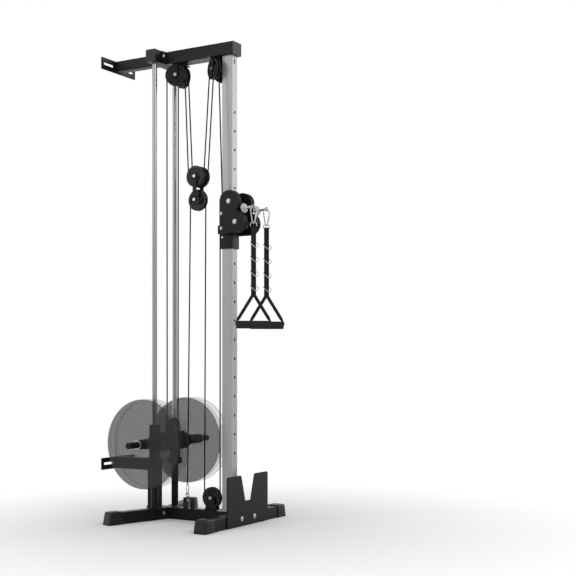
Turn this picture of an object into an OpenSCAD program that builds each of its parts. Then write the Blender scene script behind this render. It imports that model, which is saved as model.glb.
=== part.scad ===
// Wall-mounted cable machine with a loading carriage, a travelling block and two handles.
// Millimetres. +Z is up, the wall is at +Y, the user stands at -Y.
// The origin is on the floor, on the plane of symmetry, at the front face of the upright.

/* [Frame] */
// Height of the whole machine
total_h = 2400; // [2000:10:2600]
// Width of the perforated upright
upright_w = 50; // [46:1:56]
// Depth of the perforated upright, front to back
upright_d = 60; // [56:1:66]
// Wall of the steel tubes
tube_wall = 3; // [2:0.5:4]
// Width of the top beam
beam_w = 78; // [70:1:90]
// Height of the top beam and of the top crossbar
beam_h = 64; // [56:1:70]
// Distance that the top beam stands out in front of the upright
beam_nose = 10; // [6:1:16]
// Length of the top crossbar, with its caps
crossbar_l = 244; // [236:2:280]
// Depth of the top crossbar, front to back
crossbar_d = 60; // [50:1:64]
// Height of the base tubes
base_h = 60; // [56:1:64]
// Width of the base tubes
base_w = 50; // [46:1:54]
// Length of the front foot, with its caps
foot_l = 716; // [640:2:760]
// Depth of the front foot, front to back
foot_d = 60; // [50:1:66]
// Angle of the rear legs to the front foot
leg_angle = 16.5; // [12:0.5:20]
// Distance from the middle to the outer end of a rear leg
leg_reach = 356; // [320:2:380]
// Distance from the front of the upright to the wall
wall_y = 742; // [720:1:800]
// Length of a wall plate
wall_plate_l = 277; // [270:1:300]
// Height of a wall plate
wall_plate_h = 62; // [61:1:66]
// Thickness of the wall plates, flanges and the foot plate
plate_t = 6; // [4:1:8]
// Height of the lower wall arm's top above the floor
lower_arm_top = 304; // [290:1:330]
// Length of a slot in a wall plate
slot_l = 80; // [60:1:84]
// Width of a slot in a wall plate
slot_w = 13; // [10:1:14]
// Distance between the two slots of a wall plate, centre to centre
slot_pitch = 164; // [160:1:166]
// Depth of the end caps outside their tubes
cap_t = 4; // [3:1:6]

/* [Adjustment holes] */
// Number of holes in the upright
hole_count = 19; // [15:1:19]
// Distance between neighbouring holes
hole_pitch = 94.5; // [92:0.5:96]
// Height of the lowest hole
hole_first_z = 352; // [340:1:360]
// Diameter of a hole
hole_d = 14; // [13:0.5:15]
// Number of the hole that the trolley is pinned in, counted from the bottom
trolley_hole = 13; // [12:1:14]

/* [Foot plate] */
// Width of the foot plate
foot_plate_w = 370; // [340:2:390]
// Height of the foot plate's horns above the floor
foot_plate_top = 251; // [220:1:270]
// Width of the notch at the horns' tips
notch_top_w = 120; // [100:2:140]
// Width of the notch at its bottom
notch_bottom_w = 52; // [40:2:60]
// Height of the notch's bottom above the floor
notch_z = 123; // [100:1:140]

/* [Guide rods] */
// Diameter of a guide rod
rod_d = 25; // [24:0.5:26]
// Distance between the guide rods
rod_pitch = 174; // [170:2:178]
// Distance from the front of the upright to the guide rods
rod_y = 432; // [430:1:436]
// Diameter of a stand-off tube
standoff_d = 36; // [32:1:42]
// Height of a stand-off tube's top above the floor
standoff_top = 276; // [250:1:300]
// Diameter of a rubber bumper
bumper_d = 76; // [60:1:80]
// Height of a rubber bumper
bumper_h = 32; // [24:1:32]

/* [Pulleys and cable] */
// Outer diameter of every pulley
pulley_d = 108; // [104:1:108]
// Width of every pulley
pulley_w = 20; // [18:1:20]
// Depth of the groove
groove_depth = 9.8; // [8:0.2:10.4]
// Diameter of the cable
cable_d = 5.5; // [5:0.5:6]
// Diameter of the pulley axles
axle_d = 10; // [8:1:12]
// Drop of the top pulleys' axles under the beam
top_pulley_drop = 62; // [60:1:66]
// Distance from the upright's front to the front top pulleys
front_pulley_y = 97; // [94:1:100]
// Half the distance between the front top pulleys
front_pulley_x = 39; // [38:1:41]
// Angle by which the front top pulleys turn outwards
front_toe = 27.1; // [25:0.1:29]
// Distance from the upright's front to the rear top pulleys
rear_pulley_y = 338; // [336:1:340]
// Half the distance between the rear top pulleys
rear_pulley_x = 32.5; // [32:0.5:35]
// Angle by which the rear top pulleys turn inwards
rear_toe = 20.9; // [19:0.1:22]
// Distance from the upright's front to the base pulley
base_pulley_y = 135; // [134:1:140]
// Height of the base pulley's axle
base_pulley_z = 122; // [120:1:128]
// Distance from the upright's front to the cable anchor
anchor_y = 288; // [280:1:296]

/* [Travelling block] */
// Distance from the upright's front to the block
block_y = 222; // [218:1:226]
// Height of the block's upper axle
block_z = 1749; // [1700:1:1790]
// Distance between the block's two axles
block_axle_pitch = 119; // [114:1:130]
// Half the distance between the block's two upper pulleys
block_pulley_x = 18; // [16:0.5:19]

/* [Trolley] */
// Half the distance between the near and the far trolley pulleys
trolley_pulley_x = 60.5; // [60:0.5:62]
// Height of the trolley's upper axle above its pin
upper_axle_rise = 114; // [112:1:120]
// Height of the trolley's lower axle above its pin
lower_axle_rise = 11; // [8:1:14]
// Distance of the upper axle in front of the upright
upper_axle_front = 14; // [12:1:18]
// Distance of the lower axle in front of the upright
lower_axle_front = 50; // [49:1:54]
// Height of the collar's bottom under the pin
collar_drop = 114.5; // [100:0.5:120]
// Height of the collar's top above the pin
collar_rise = 154; // [140:1:160]
// Thickness of the outer pulley cheeks
cheek_t = 4; // [3:0.5:5]
// Diameter of the selector pin
pin_d = 12; // [11:0.5:12]
// Diameter of the selector knob
knob_d = 34; // [28:1:40]

/* [Carriage] */
// Outer diameter of a guide sleeve
sleeve_d = 56; // [50:1:58]
// Length of a guide sleeve
sleeve_l = 178; // [160:1:190]
// Height of the carriage pulley's axle
carriage_pulley_z = 465; // [460:1:475]
// Diameter of a weight peg
peg_d = 31; // [28:1:34]
// Height of the weight pegs above the floor
peg_z = 395; // [390:1:400]
// Distance from the upright's front to the weight pegs
peg_y = 403; // [402:1:412]
// Distance from the middle to the tip of a peg
peg_tip_x = 340; // [300:1:350]
// Diameter of the plate stop on a peg
stop_d = 86; // [70:1:92]
// Distance from the middle to the outer face of a plate stop
stop_x = 133; // [128:1:140]
// Diameter of the sleeve that takes plates with a wide bore
adapter_d = 49.4; // [48:0.2:49.8]
// Length of that sleeve
adapter_l = 137; // [110:1:145]

/* [Weight plates] */
// Diameter of a weight plate
disc_d = 450; // [300:5:450]
// Thickness of a weight plate
disc_t = 46.5; // [30:0.5:48]
// Bore of a weight plate
disc_bore = 50.8; // [50.4:0.2:51.2]

/* [Handles] */
// Distance of the hanging straps in front of the upright
strap_front = 149; // [146:1:156]
// Length of the long strap
strap_l = 336; // [320:2:360]
// Width of the webbing
web_w = 25; // [20:1:28]
// Thickness of the webbing
web_t = 4; // [3:0.5:5]
// Distance between neighbouring D-rings
ring_pitch = 70.5; // [60:0.5:76]
// Width of a handle, over its webbing
handle_w = 180; // [150:2:190]
// Height of a handle's triangle
handle_h = 126; // [100:2:140]
// Diameter of a foam grip
grip_d = 38; // [30:1:40]
// Turn of the handles about the vertical
handle_yaw = -56; // [-70:1:-40]

/* [Hidden] */

$fn = 48;
fit_gap = 0.3;          // gap between bodies that rest on or pass each other
running_gap = 0.05;     // radial gap of a shaft that turns or slides in its bore
seat_gap = 0.1;         // radial gap of a bolt or rod in its hole
side_gap = 2;           // gap between a pulley and its cheeks
strap_t = 3;            // thickness of the pulley straps
strap_r = 15;           // half the width of the pulley straps
hanger_t = 5;           // thickness of the plates under the beam
tube_r = 4;             // outer corner radius of the tubes

beam_z = total_h - beam_h;
crossbar_front = rod_y - crossbar_d / 2;
crossbar_back = rod_y + crossbar_d / 2;
foot_back = -14;                            // rear face of the front foot
foot_front = foot_back - foot_d;
post_back = 527;                            // rear face of the rear post
post_front = post_back - upright_d;
arm_w = 50;                                 // width of both wall arms
upper_arm_h = 55;                           // height of the upper wall arm
wall_plate_y = wall_y - plate_t;
lower_plate_mid = lower_arm_top - 30;
leg_y0 = rod_y - rod_pitch / 2 * tan(leg_angle);

cable_r = cable_d / 2;
root_r = pulley_d / 2 - groove_depth;
pitch_r = root_r + cable_r + fit_gap;
strap_in = pulley_w / 2 + side_gap;         // inner face of a strap beside a pulley
strap_out = strap_in + strap_t;
axle_r = axle_d / 2;
bearing_r = 13;
top_pulley_z = beam_z - top_pulley_drop;

// Where the cable leaves the near top pulleys
front_in = [-front_pulley_x + pitch_r * sin(front_toe), front_pulley_y + pitch_r * cos(front_toe)];
front_out = [-front_pulley_x - pitch_r * sin(front_toe), front_pulley_y - pitch_r * cos(front_toe)];
rear_in = [-rear_pulley_x + pitch_r * sin(rear_toe), rear_pulley_y - pitch_r * cos(rear_toe)];
rear_out = [-rear_pulley_x - pitch_r * sin(rear_toe), rear_pulley_y + pitch_r * cos(rear_toe)];
carriage_pulley_y = rear_out[1];
block_lower_z = block_z - block_axle_pitch;
bridge_w = 34;                              // bridge over the base beam for the eye bolt
bridge_l = 51;
bridge_back = 15;                           // length of the bridge behind the eye bolt
bridge_top = 114;
eyebolt_r = 4;
eyebolt_ring_r = 9;
eyebolt_wire = 3;
anchor_eye_z = bridge_top + eyebolt_ring_r + eyebolt_wire;
anchor_k = 0.6;                             // size of the anchor's carabiner beside the handles'
weld = 0.6;                                 // depth to which welded shapes run into each other

pin_z = hole_first_z + (trolley_hole - 1) * hole_pitch;
collar_wall = 3;
liner_t = 3.7;
collar_half_w = upright_w / 2 + fit_gap + liner_t + collar_wall;
collar_front = -fit_gap - liner_t - collar_wall;
collar_back = upright_d + fit_gap + liner_t + collar_wall;
collar_bottom = pin_z - collar_drop;
collar_top = pin_z + collar_rise;
upper_axle = [-upper_axle_front, pin_z + upper_axle_rise];
lower_axle = [-lower_axle_front, pin_z + lower_axle_rise];
lobe_r = pulley_d / 2 + 1;                  // radius of the cheeks' lobes
cheek_back = upper_axle[0] + lobe_r;
cheek_bottom = lower_axle[1] - lobe_r;
cheek_in = trolley_pulley_x - pulley_w / 2 - side_gap;
cheek_out = trolley_pulley_x + pulley_w / 2 + side_gap;
lug_y = base_pulley_y - pitch_r;            // where the lower cable meets the trolley
lug_bottom = pin_z - 36;
exit_tilt = 6;                              // rise of the cable's end towards the handle
exit_z = upper_axle[1] - pitch_r / cos(exit_tilt);

sleeve_bottom = standoff_top + bumper_h + fit_gap;
bush_r = 17;
peg_r = peg_d / 2;
stop_t = 9;
peg_step = 0.4;
peg_shoulder_x = stop_x + adapter_l + 1;
disc_gap = 0.5;
disc_in = stop_x + 1;
cross_front = 396;                          // front and back of the carriage's cross body
cross_back = 424;
cross_low = peg_z - 43;
cross_high = peg_z + 52;
cross_h = cross_high - cross_low;

link_r = 2.5;                               // wire of the cable end's ring
link_ring_r = 8;
clip_r = 3;                                 // wire of a carabiner
clip_top_r = 20;                            // centre line of a carabiner's wide end
clip_foot_r = 9;
clip_drop = 52;                             // distance between its two end circles
stop_y = -90;                               // rear face of the cable stop
clip_yaw = -13;                             // turn of the carabiners about the vertical
buckle_w = 33;                              // ring between a carabiner and its strap
buckle_h = 18;
buckle_wire = 2;
buckle_taper = 4;                           // each end of its upper bar is that much shorter
loop_r = buckle_wire + fit_gap + web_t / 2; // middle of the webbing round the ring's bar
anchor_clip_z = anchor_eye_z + eyebolt_ring_r - eyebolt_wire - fit_gap
    + anchor_k * (clip_foot_r - clip_r + clip_drop);
anchor_top_z = anchor_clip_z + anchor_k * clip_top_r;
strand_foot_z = 192;                        // height where the lower strands begin
ring_z = exit_z + tan(exit_tilt) * (strap_front - upper_axle_front);
clip_z = ring_z - link_ring_r + link_r + fit_gap + clip_r - clip_top_r;
buckle_top_z = clip_z - clip_drop - clip_foot_r + clip_r + fit_gap + buckle_wire;
strap_top_z = buckle_top_z - buckle_h;      // middle of the ring's lower bar
strap_bottom_z = strap_top_z - strap_l;
handle_base_z = strap_bottom_z - handle_h;
grip_z = handle_base_z - grip_d / 2;

black = [0.06, 0.06, 0.065];
silver = [0.78, 0.79, 0.8];
rubber = [0.03, 0.03, 0.03];
nylon = [0.12, 0.12, 0.12];
rod_steel = [0.85, 0.86, 0.87];
plate_grey = [0.45, 0.45, 0.46];
cable_black = [0.02, 0.02, 0.02];
web_black = [0.08, 0.08, 0.085];

// Outline of a rectangle with round corners, centred
module rounded(w, h, r) {
    square([w - 2 * r, h], center = true);
    square([w, h - 2 * r], center = true);
    for (x = [-1, 1], y = [-1, 1]) translate([x * (w / 2 - r), y * (h / 2 - r)]) circle(r);
}

// Tube along Z with its low end at z = 0, open at both ends
module tube(w, d, l, wall = tube_wall) {
    linear_extrude(l) difference() {
        rounded(w, d, tube_r);
        rounded(w - 2 * wall, d - 2 * wall, max(tube_r - wall, 0.5));
    }
}

// Tube along Y from y0 to y1, centred on x = 0, with its underside at z0
module tube_y(w, h, y0, y1, z0) {
    translate([0, y1, z0 + h / 2]) rotate([90, 0, 0]) tube(w, h, y1 - y0);
}

// Tube along X from x0 to x1, centred on y, with its underside at z0
module tube_x(d, h, x0, x1, y, z0) {
    translate([x0, y, z0 + h / 2]) rotate([0, 90, 0]) tube(h, d, x1 - x0);
}

// Round bar between two points
module bar(a, b, r) {
    v = b - a;
    l = norm(v);
    translate(a) rotate([0, acos(v[2] / l), atan2(v[1], v[0])]) cylinder(r = r, h = l);
}

// Shaft along X, centred on x = 0
module shaft_x(r, l) {
    rotate([0, 90, 0]) cylinder(r = r, h = l, center = true);
}

// Both sides of the machine, from the near side's shape
module both() {
    children();
    mirror([1, 0, 0]) children();
}

// Hexagon head with its flat on z = 0
module hex_head(r, h) {
    cylinder(r = r, h = h, $fn = 6);
}

// Bolt along X through a stack of the given length: head at -X, nut at +X
module axle_bolt(l, r = axle_r, head_r = 9, head_h = 6) {
    shaft_x(r, l);
    translate([-l / 2, 0, 0]) rotate([0, -90, 0]) hex_head(head_r, head_h);
    translate([l / 2, 0, 0]) rotate([0, 90, 0]) hex_head(head_r, head_h);
}

// Pulley that turns about X: sheave with a deep groove, and its bearing
module pulley() {
    rim = pulley_d / 2;
    half = pulley_w / 2;
    groove_half = cable_r + 0.65;
    rotate([0, 90, 0]) {
        color(black) rotate_extrude($fn = 64) polygon([
            [bearing_r, half - 1], [20, half - 1], [22, half - 4], [root_r - 7, half - 4],
            [root_r - 3, half], [rim, half], [rim, half - 2], [root_r, groove_half],
            [root_r, -groove_half], [rim, 2 - half], [rim, -half], [root_r - 3, -half],
            [root_r - 7, 4 - half], [22, 4 - half], [20, 1 - half], [bearing_r, 1 - half]]);
        color(silver) difference() {
            cylinder(r = bearing_r - 0.02, h = 12, center = true);
            cylinder(r = axle_r + running_gap, h = 14, center = true);
        }
    }
}

// Pulley strap in the plane of a pulley that turns about X, from the plate above
module strap(x, drop) {
    translate([x, 0, 0]) rotate([90, 0, 90]) difference() {
        linear_extrude(strap_t) {
            circle(strap_r);
            translate([-strap_r, 0]) square([2 * strap_r, drop]);
        }
        translate([0, 0, -1]) cylinder(r = axle_r + seat_gap, h = strap_t + 2);
    }
}

// Cable on a pulley that turns about X: from angle a0 on through the angle a, 0 at +Y
module wrap(a0, a) {
    rotate([90, 0, 90]) rotate([0, 0, a0]) rotate_extrude(angle = a, $fn = 64)
        translate([pitch_r, 0]) circle(cable_r, $fn = 16);
}

// Where the top pulleys stand and how they are turned: near side
module at_front_pulley() {
    translate([-front_pulley_x, front_pulley_y, top_pulley_z]) rotate([0, 0, -front_toe]) children();
}
module at_rear_pulley() {
    translate([-rear_pulley_x, rear_pulley_y, top_pulley_z]) rotate([0, 0, rear_toe]) children();
}

module upright() {
    color(silver) difference() {
        union() {
            translate([0, upright_d / 2, base_h + plate_t])
                tube(upright_w, upright_d, beam_z - base_h - plate_t);
            translate([-upright_w / 2, foot_back + 2, base_h]) cube([upright_w, flange_l, plate_t]);
        }
        for (i = [0 : hole_count - 1]) translate([0, 0, hole_first_z + i * hole_pitch])
            rotate([90, 0, 0]) cylinder(d = hole_d, h = 4 * tube_wall, center = true);
        // slot for the beam's locking screw
        translate([0, 0, beam_z - 30]) rotate([90, 0, 0])
            linear_extrude(4 * tube_wall, center = true) {
                square([9, 14], center = true);
                for (s = [-7, 7]) translate([0, s]) circle(4.5);
            }
        translate([0, flange_bolt_y, base_h - 1]) cylinder(r = axle_r + seat_gap, h = plate_t + 2);
    }
}
flange_l = upright_d + 40;    // base flange of the upright, front to back
flange_bolt_y = upright_d + 13.6;

module top_beam() {
    color(black) {
        tube_y(beam_w, beam_h, -beam_nose, crossbar_front - plate_t, beam_z);
        translate([0, crossbar_front, beam_z + beam_h / 2]) rotate([90, 0, 0]) difference() {
            linear_extrude(plate_t) rounded(beam_flange_w, beam_h - 1, tube_r);
            for (x = [-beam_bolt_x, beam_bolt_x]) translate([x, beam_bolt_rise, -1])
                cylinder(r = axle_r + seat_gap, h = plate_t + 2);
        }
    }
}
beam_flange_w = beam_w + 66;
beam_bolt_x = beam_w / 2 + 18;
beam_bolt_rise = 6;

module top_crossbar() {
    color(black) difference() {
        tube_x(crossbar_d, beam_h, cap_t - crossbar_l / 2, crossbar_l / 2 - cap_t, rod_y, beam_z);
        for (s = [-1, 1]) {
            translate([s * rod_pitch / 2, rod_y, beam_z - 1])
                cylinder(d = rod_d + 2 * seat_gap, h = tube_wall + 2);
            translate([s * beam_bolt_x, crossbar_front - 1, beam_z + beam_h / 2 + beam_bolt_rise])
                rotate([-90, 0, 0]) cylinder(r = axle_r + seat_gap, h = tube_wall + 2);
        }
    }
}

// Wall plate with its slots, centred on the given height
module wall_plate(z) {
    translate([0, wall_y, z]) rotate([90, 0, 0]) linear_extrude(plate_t) difference() {
        rounded(wall_plate_l, wall_plate_h, 3);
        for (s = [-1, 1]) translate([s * slot_pitch / 2, 0]) {
            square([slot_l - slot_w, slot_w], center = true);
            for (e = [-1, 1]) translate([e * (slot_l - slot_w) / 2, 0]) circle(d = slot_w);
        }
    }
}

module upper_wall_bracket() {
    color(black) {
        tube_y(arm_w, upper_arm_h, crossbar_back, wall_plate_y, total_h - upper_arm_h);
        wall_plate(total_h - wall_plate_h / 2);
    }
}

module lower_wall_bracket() {
    color(black) {
        tube_y(arm_w, base_h, post_back, wall_plate_y, lower_arm_top - base_h);
        wall_plate(lower_plate_mid);
        // rear post on the base beam
        translate([0, (post_front + post_back) / 2, base_h])
            tube(arm_w, upright_d, lower_arm_top - base_h);
    }
}

module base_beam() {
    color(black) {
        difference() {
            tube_y(base_w, base_h, foot_back, post_back, 0);
            translate([0, flange_bolt_y, base_h - tube_wall - 1])
                cylinder(r = axle_r + seat_gap, h = tube_wall + 2);
        }
        // bridge that carries the eye bolt of the lower cable
        difference() {
            translate([-bridge_w / 2, anchor_y + bridge_back - bridge_l, base_h])
                cube([bridge_w, bridge_l, bridge_top - base_h]);
            translate([-bridge_w, anchor_y + bridge_back - bridge_l + plate_t, base_h - 1])
                cube([2 * bridge_w, bridge_l - 2 * plate_t, bridge_top - base_h - plate_t + 1]);
            translate([0, anchor_y, base_h]) cylinder(r = eyebolt_r + seat_gap, h = bridge_top);
        }
    }
}

// Rear leg of the near side, from the base beam's flank outwards
module rear_leg() {
    difference() {
        translate([0, leg_y0, base_h / 2]) rotate([0, 0, -leg_angle]) rotate([0, -90, 0])
            tube(base_h, base_w, leg_reach / cos(leg_angle));
        translate([-base_w / 2, 0, -1]) cube([base_w * 2, 2 * rod_y, base_h + 2]);
        translate([-rod_pitch / 2, rod_y, base_h - tube_wall - 1])
            cylinder(d = rod_d + 2 * seat_gap, h = tube_wall + 2);
        at_leg_bolt() translate([0, 0, -tube_wall - 1])
            cylinder(r = leg_bolt_r + seat_gap, h = tube_wall + 2);
    }
}
leg_bolt_r = 4;

// Front face of the near leg, where its bolt sits
module at_leg_bolt() {
    translate([0, leg_y0, base_h / 2]) rotate([0, 0, -leg_angle])
        translate([-50, -base_w / 2, 3]) rotate([90, 0, 0]) children();
}

module rear_legs() {
    color(black) both() rear_leg();
}

module front_foot() {
    color(black) difference() {
        tube_x(foot_d, base_h, cap_t - foot_l / 2, foot_l / 2 - cap_t,
            (foot_front + foot_back) / 2, 0);
        for (s = [-1, 1]) translate([s * foot_bolt_x, foot_front - 1, foot_bolt_z])
            rotate([-90, 0, 0]) cylinder(r = axle_r + seat_gap, h = tube_wall + 2);
    }
}

module foot_plate() {
    chamfer = 8;
    low = 4;
    half = foot_plate_w / 2;
    top = foot_plate_top;
    color(black) translate([0, foot_front, 0]) rotate([90, 0, 0]) linear_extrude(plate_t)
        difference() {
            polygon([for (s = [-1, 1], p = s < 0 ? right_edge(s, half, low, top, chamfer)
                : reversed(right_edge(s, half, low, top, chamfer))) p]);
            for (s = [-1, 1]) translate([s * foot_bolt_x, foot_bolt_z]) circle(axle_r + seat_gap);
        }
}
foot_bolt_x = 58;
foot_bolt_z = 38;
function right_edge(s, half, low, top, c) = [[s * (half - c), low], [s * half, low + c],
    [s * half, top - c], [s * (half - c), top], [s * (notch_top_w / 2 + c), top],
    [s * notch_top_w / 2, top - c], [s * notch_bottom_w / 2, notch_z]];
function reversed(p) = [for (i = [len(p) - 1 : -1 : 0]) p[i]];

// Plate that closes the end of a tube, with its plug inside the tube
module end_cap(w, h) {
    linear_extrude(cap_t) rounded(w, h, tube_r);
    translate([0, 0, -12]) linear_extrude(12)
        rounded(w - 2 * tube_wall - 2 * seat_gap, h - 2 * tube_wall - 2 * seat_gap, 1);
}

// Cap of a tube on the floor: its outer face slopes outwards to the floor, which is at -X here
module foot_cap(w, h) {
    slope = 12;
    difference() {
        linear_extrude(cap_t + slope) rounded(w, h, tube_r);
        translate([w / 2, 0, cap_t]) rotate([0, -atan(slope / w), 0])
            translate([-2 * w, -h, 0]) cube([4 * w, 2 * h, 3 * slope]);
    }
    translate([0, 0, -12]) linear_extrude(12.01)
        rounded(w - 2 * tube_wall - 2 * seat_gap, h - 2 * tube_wall - 2 * seat_gap, 1);
}

module end_caps() {
    color(nylon) {
        translate([0, -beam_nose, beam_z + beam_h / 2]) rotate([90, 0, 0]) end_cap(beam_w, beam_h);
        both() translate([cap_t - crossbar_l / 2, rod_y, beam_z + beam_h / 2])
            rotate([0, -90, 0]) end_cap(beam_h, crossbar_d);
        both() translate([cap_t - foot_l / 2, (foot_front + foot_back) / 2, base_h / 2])
            rotate([0, -90, 0]) foot_cap(base_h, foot_d);
        both() translate([0, leg_y0, base_h / 2]) rotate([0, 0, -leg_angle])
            translate([-leg_reach / cos(leg_angle), 0, 0]) rotate([0, -90, 0])
            foot_cap(base_h, base_w);
        translate([0, post_back, base_h / 2]) rotate([-90, 0, 0]) end_cap(base_w, base_h);
        translate([0, (post_front + post_back) / 2, lower_arm_top]) end_cap(arm_w, upright_d);
    }
}

module guide_rods() {
    color(rod_steel) both() translate([-rod_pitch / 2, rod_y, tube_wall])
        cylinder(d = rod_d, h = total_h - 2 * tube_wall);
}

// Ring round a guide rod
module rod_ring(d, z0, h) {
    both() translate([-rod_pitch / 2, rod_y, z0]) difference() {
        cylinder(d = d, h = h);
        translate([0, 0, -1]) cylinder(d = rod_d + 2 * seat_gap, h = h + 2);
    }
}

module rod_standoffs() {
    color(black) rod_ring(standoff_d, base_h, standoff_top - base_h);
}

module rubber_bumpers() {
    color(rubber) rod_ring(bumper_d, standoff_top, bumper_h);
}

module rear_pulley_hanger() {
    color(black) {
        translate([-58, rear_pulley_y - 26, beam_z - hanger_t]) cube([116, 48, hanger_t]);
        both() at_rear_pulley() for (x = [-strap_out, strap_in])
            strap(x, top_pulley_drop - hanger_t + weld);
    }
}

module front_pulley_hanger() {
    color(black) {
        translate([-66, front_pulley_y - 26, beam_z - hanger_t]) cube([132, 52, hanger_t]);
        both() at_front_pulley() for (x = [-strap_out, strap_in])
            strap(x, top_pulley_drop - hanger_t + weld);
    }
}

module base_pulley_bracket() {
    foot = 35;
    color(black) {
        translate([-base_w / 2, base_pulley_y - foot, base_h]) cube([base_w, 2 * foot, hanger_t]);
        for (x = [-strap_out, strap_in]) translate([x, base_pulley_y, base_pulley_z])
            rotate([90, 0, 90]) difference() {
                linear_extrude(strap_t) {
                    circle(strap_r + 4);
                    polygon([[-strap_r - 4, 0], [strap_r + 4, 0],
                        [foot, base_h + hanger_t - base_pulley_z],
                        [-foot, base_h + hanger_t - base_pulley_z]]);
                }
                translate([0, 0, -1]) cylinder(r = axle_r + seat_gap, h = strap_t + 2);
            }
    }
}

// Bolt with a domed head: its face at the origin, pointing along -Z into the metal
module dome_bolt(shank) {
    translate([0, 0, -shank]) cylinder(r = axle_r, h = shank);
    cylinder(r = 13, h = 1.5);
    translate([0, 0, 1.5]) rotate_extrude($fn = 32) intersection() {
        translate([0, -6]) circle(11);
        square([10, 6]);
    }
}

// Hexagon bolt on a washer: washer's face at the origin, shank along -Z
module washer_bolt(r, head_r, shank) {
    translate([0, 0, -shank]) cylinder(r = r, h = shank);
    cylinder(r = head_r + 2, h = 1.5);
    translate([0, 0, 1.5]) hex_head(head_r, 5);
}

module frame_fasteners() {
    color(silver) {
        both() at_rear_pulley() axle_bolt(2 * strap_out);
        both() at_front_pulley() axle_bolt(2 * strap_out);
        translate([0, base_pulley_y, base_pulley_z]) axle_bolt(2 * strap_out);
        for (s = [-1, 1]) {
            translate([s * beam_bolt_x, crossbar_front - plate_t,
                beam_z + beam_h / 2 + beam_bolt_rise]) rotate([90, 0, 0])
                dome_bolt(plate_t + tube_wall + 4);
            translate([s * foot_bolt_x, foot_front - plate_t, foot_bolt_z]) rotate([90, 0, 0])
                dome_bolt(plate_t + tube_wall + 4);
        }
        translate([0, flange_bolt_y, base_h + plate_t]) dome_bolt(plate_t + tube_wall + 4);
        // bolts on the legs' front faces
        both() at_leg_bolt() washer_bolt(leg_bolt_r, 8, tube_wall + 5);
    }
}

// Carabiner in the XZ plane: wide end up, centre of the wide end at the origin
module clip_shape() {
    lean = asin((clip_top_r - clip_foot_r) / clip_drop);
    side = clip_drop * cos(lean);
    rotate([90, 0, 0]) {
        rotate([0, 0, -lean]) rotate_extrude(angle = 180 + 2 * lean, $fn = 40)
            translate([clip_top_r, 0]) circle(clip_r, $fn = 16);
        translate([0, -clip_drop, 0]) rotate([0, 0, 180 + lean])
            rotate_extrude(angle = 180 - 2 * lean, $fn = 40)
            translate([clip_foot_r, 0]) circle(clip_r, $fn = 16);
        for (s = [-1, 1]) {
            top = [s * clip_top_r * cos(lean), -clip_top_r * sin(lean), 0];
            down = [-s * sin(lean), -cos(lean), 0];
            bar(top + 0.2 * down, top + (side - 0.2) * down, clip_r);
            // knuckles where the wire's straight sides begin
            for (end = [top, top + side * down]) translate(end) sphere(clip_r + 0.8, $fn = 24);
            // sleeve of the spring gate
            if (s > 0) bar(top + 0.25 * side * down, top + 0.7 * side * down, clip_r + 1.3);
        }
    }
}

module anchor_carabiner() {
    color(silver) {
        // eye bolt: ring over the bridge, shank and nut under it
        translate([0, anchor_y, 0]) {
            translate([0, 0, anchor_eye_z]) rotate([0, 90, 0]) rotate_extrude()
                translate([eyebolt_ring_r, 0]) circle(eyebolt_wire, $fn = 16);
            translate([0, 0, bridge_top]) cylinder(r = eyebolt_r + 2, h = eyebolt_wire);
            translate([0, 0, bridge_top - plate_t - 14]) cylinder(r = eyebolt_r, h = plate_t + 15);
            translate([0, 0, bridge_top - plate_t - 8]) hex_head(8, 8);
        }
        // small carabiner: the narrow end hangs in the eye, the wide end holds the cable
        translate([0, anchor_y, anchor_clip_z]) scale(anchor_k) clip_shape();
        // pressed sleeve on the end of the lower cable
        translate([0, anchor_y, anchor_top_z - 4])
            cylinder(r = cable_r + 2.2, h = strand_foot_z - anchor_top_z + 4);
    }
}

module cable_frame_wraps() {
    color(cable_black) {
        both() at_rear_pulley() wrap(0, 180);
        both() at_front_pulley() wrap(0, 180);
        translate([0, base_pulley_y, base_pulley_z]) wrap(180, 180);
        for (s = [-1, 1]) bar([0, base_pulley_y + s * pitch_r, base_pulley_z],
            [0, base_pulley_y + s * pitch_r, strand_foot_z], cable_r);
    }
}

module near_rear_top_pulley() { at_rear_pulley() pulley(); }
module far_rear_top_pulley() { mirror([1, 0, 0]) at_rear_pulley() pulley(); }
module near_front_top_pulley() { at_front_pulley() pulley(); }
module far_front_top_pulley() { mirror([1, 0, 0]) at_front_pulley() pulley(); }
module base_pulley() { translate([0, base_pulley_y, base_pulley_z]) pulley(); }

block_cheek_x = block_pulley_x + strap_in;

module block_cheeks() {
    color(black) for (x = [-block_cheek_x - strap_t, block_cheek_x])
        translate([x, block_y, block_lower_z]) rotate([90, 0, 90]) difference() {
            linear_extrude(strap_t) {
                for (z = [0, block_axle_pitch]) translate([0, z]) circle(strap_r + 5);
                translate([-strap_r + 3, 0]) square([2 * strap_r - 6, block_axle_pitch]);
            }
            for (z = [0, block_axle_pitch]) translate([0, z, -1])
                cylinder(r = axle_r + seat_gap, h = strap_t + 2);
        }
}

module block_axles() {
    color(silver) {
        for (z = [block_z, block_lower_z]) translate([0, block_y, z])
            axle_bolt(2 * (block_cheek_x + strap_t));
        // spacers that centre the lower pulley
        for (s = [-1, 1]) translate([s * (block_cheek_x + strap_in) / 2, block_y, block_lower_z])
            difference() {
                shaft_x(9, block_cheek_x - strap_in);
                shaft_x(axle_r + seat_gap, block_cheek_x);
            }
    }
}

module block_upper_pulleys() {
    for (s = [-1, 1]) translate([s * block_pulley_x, block_y, block_z]) pulley();
}
module block_lower_pulley() { translate([0, block_y, block_lower_z]) pulley(); }

module block_cable_wraps() {
    color(cable_black) {
        for (s = [-1, 1]) translate([s * block_pulley_x, block_y, block_z]) wrap(180, 180);
        translate([0, block_y, block_lower_z]) wrap(0, 180);
    }
}

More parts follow.
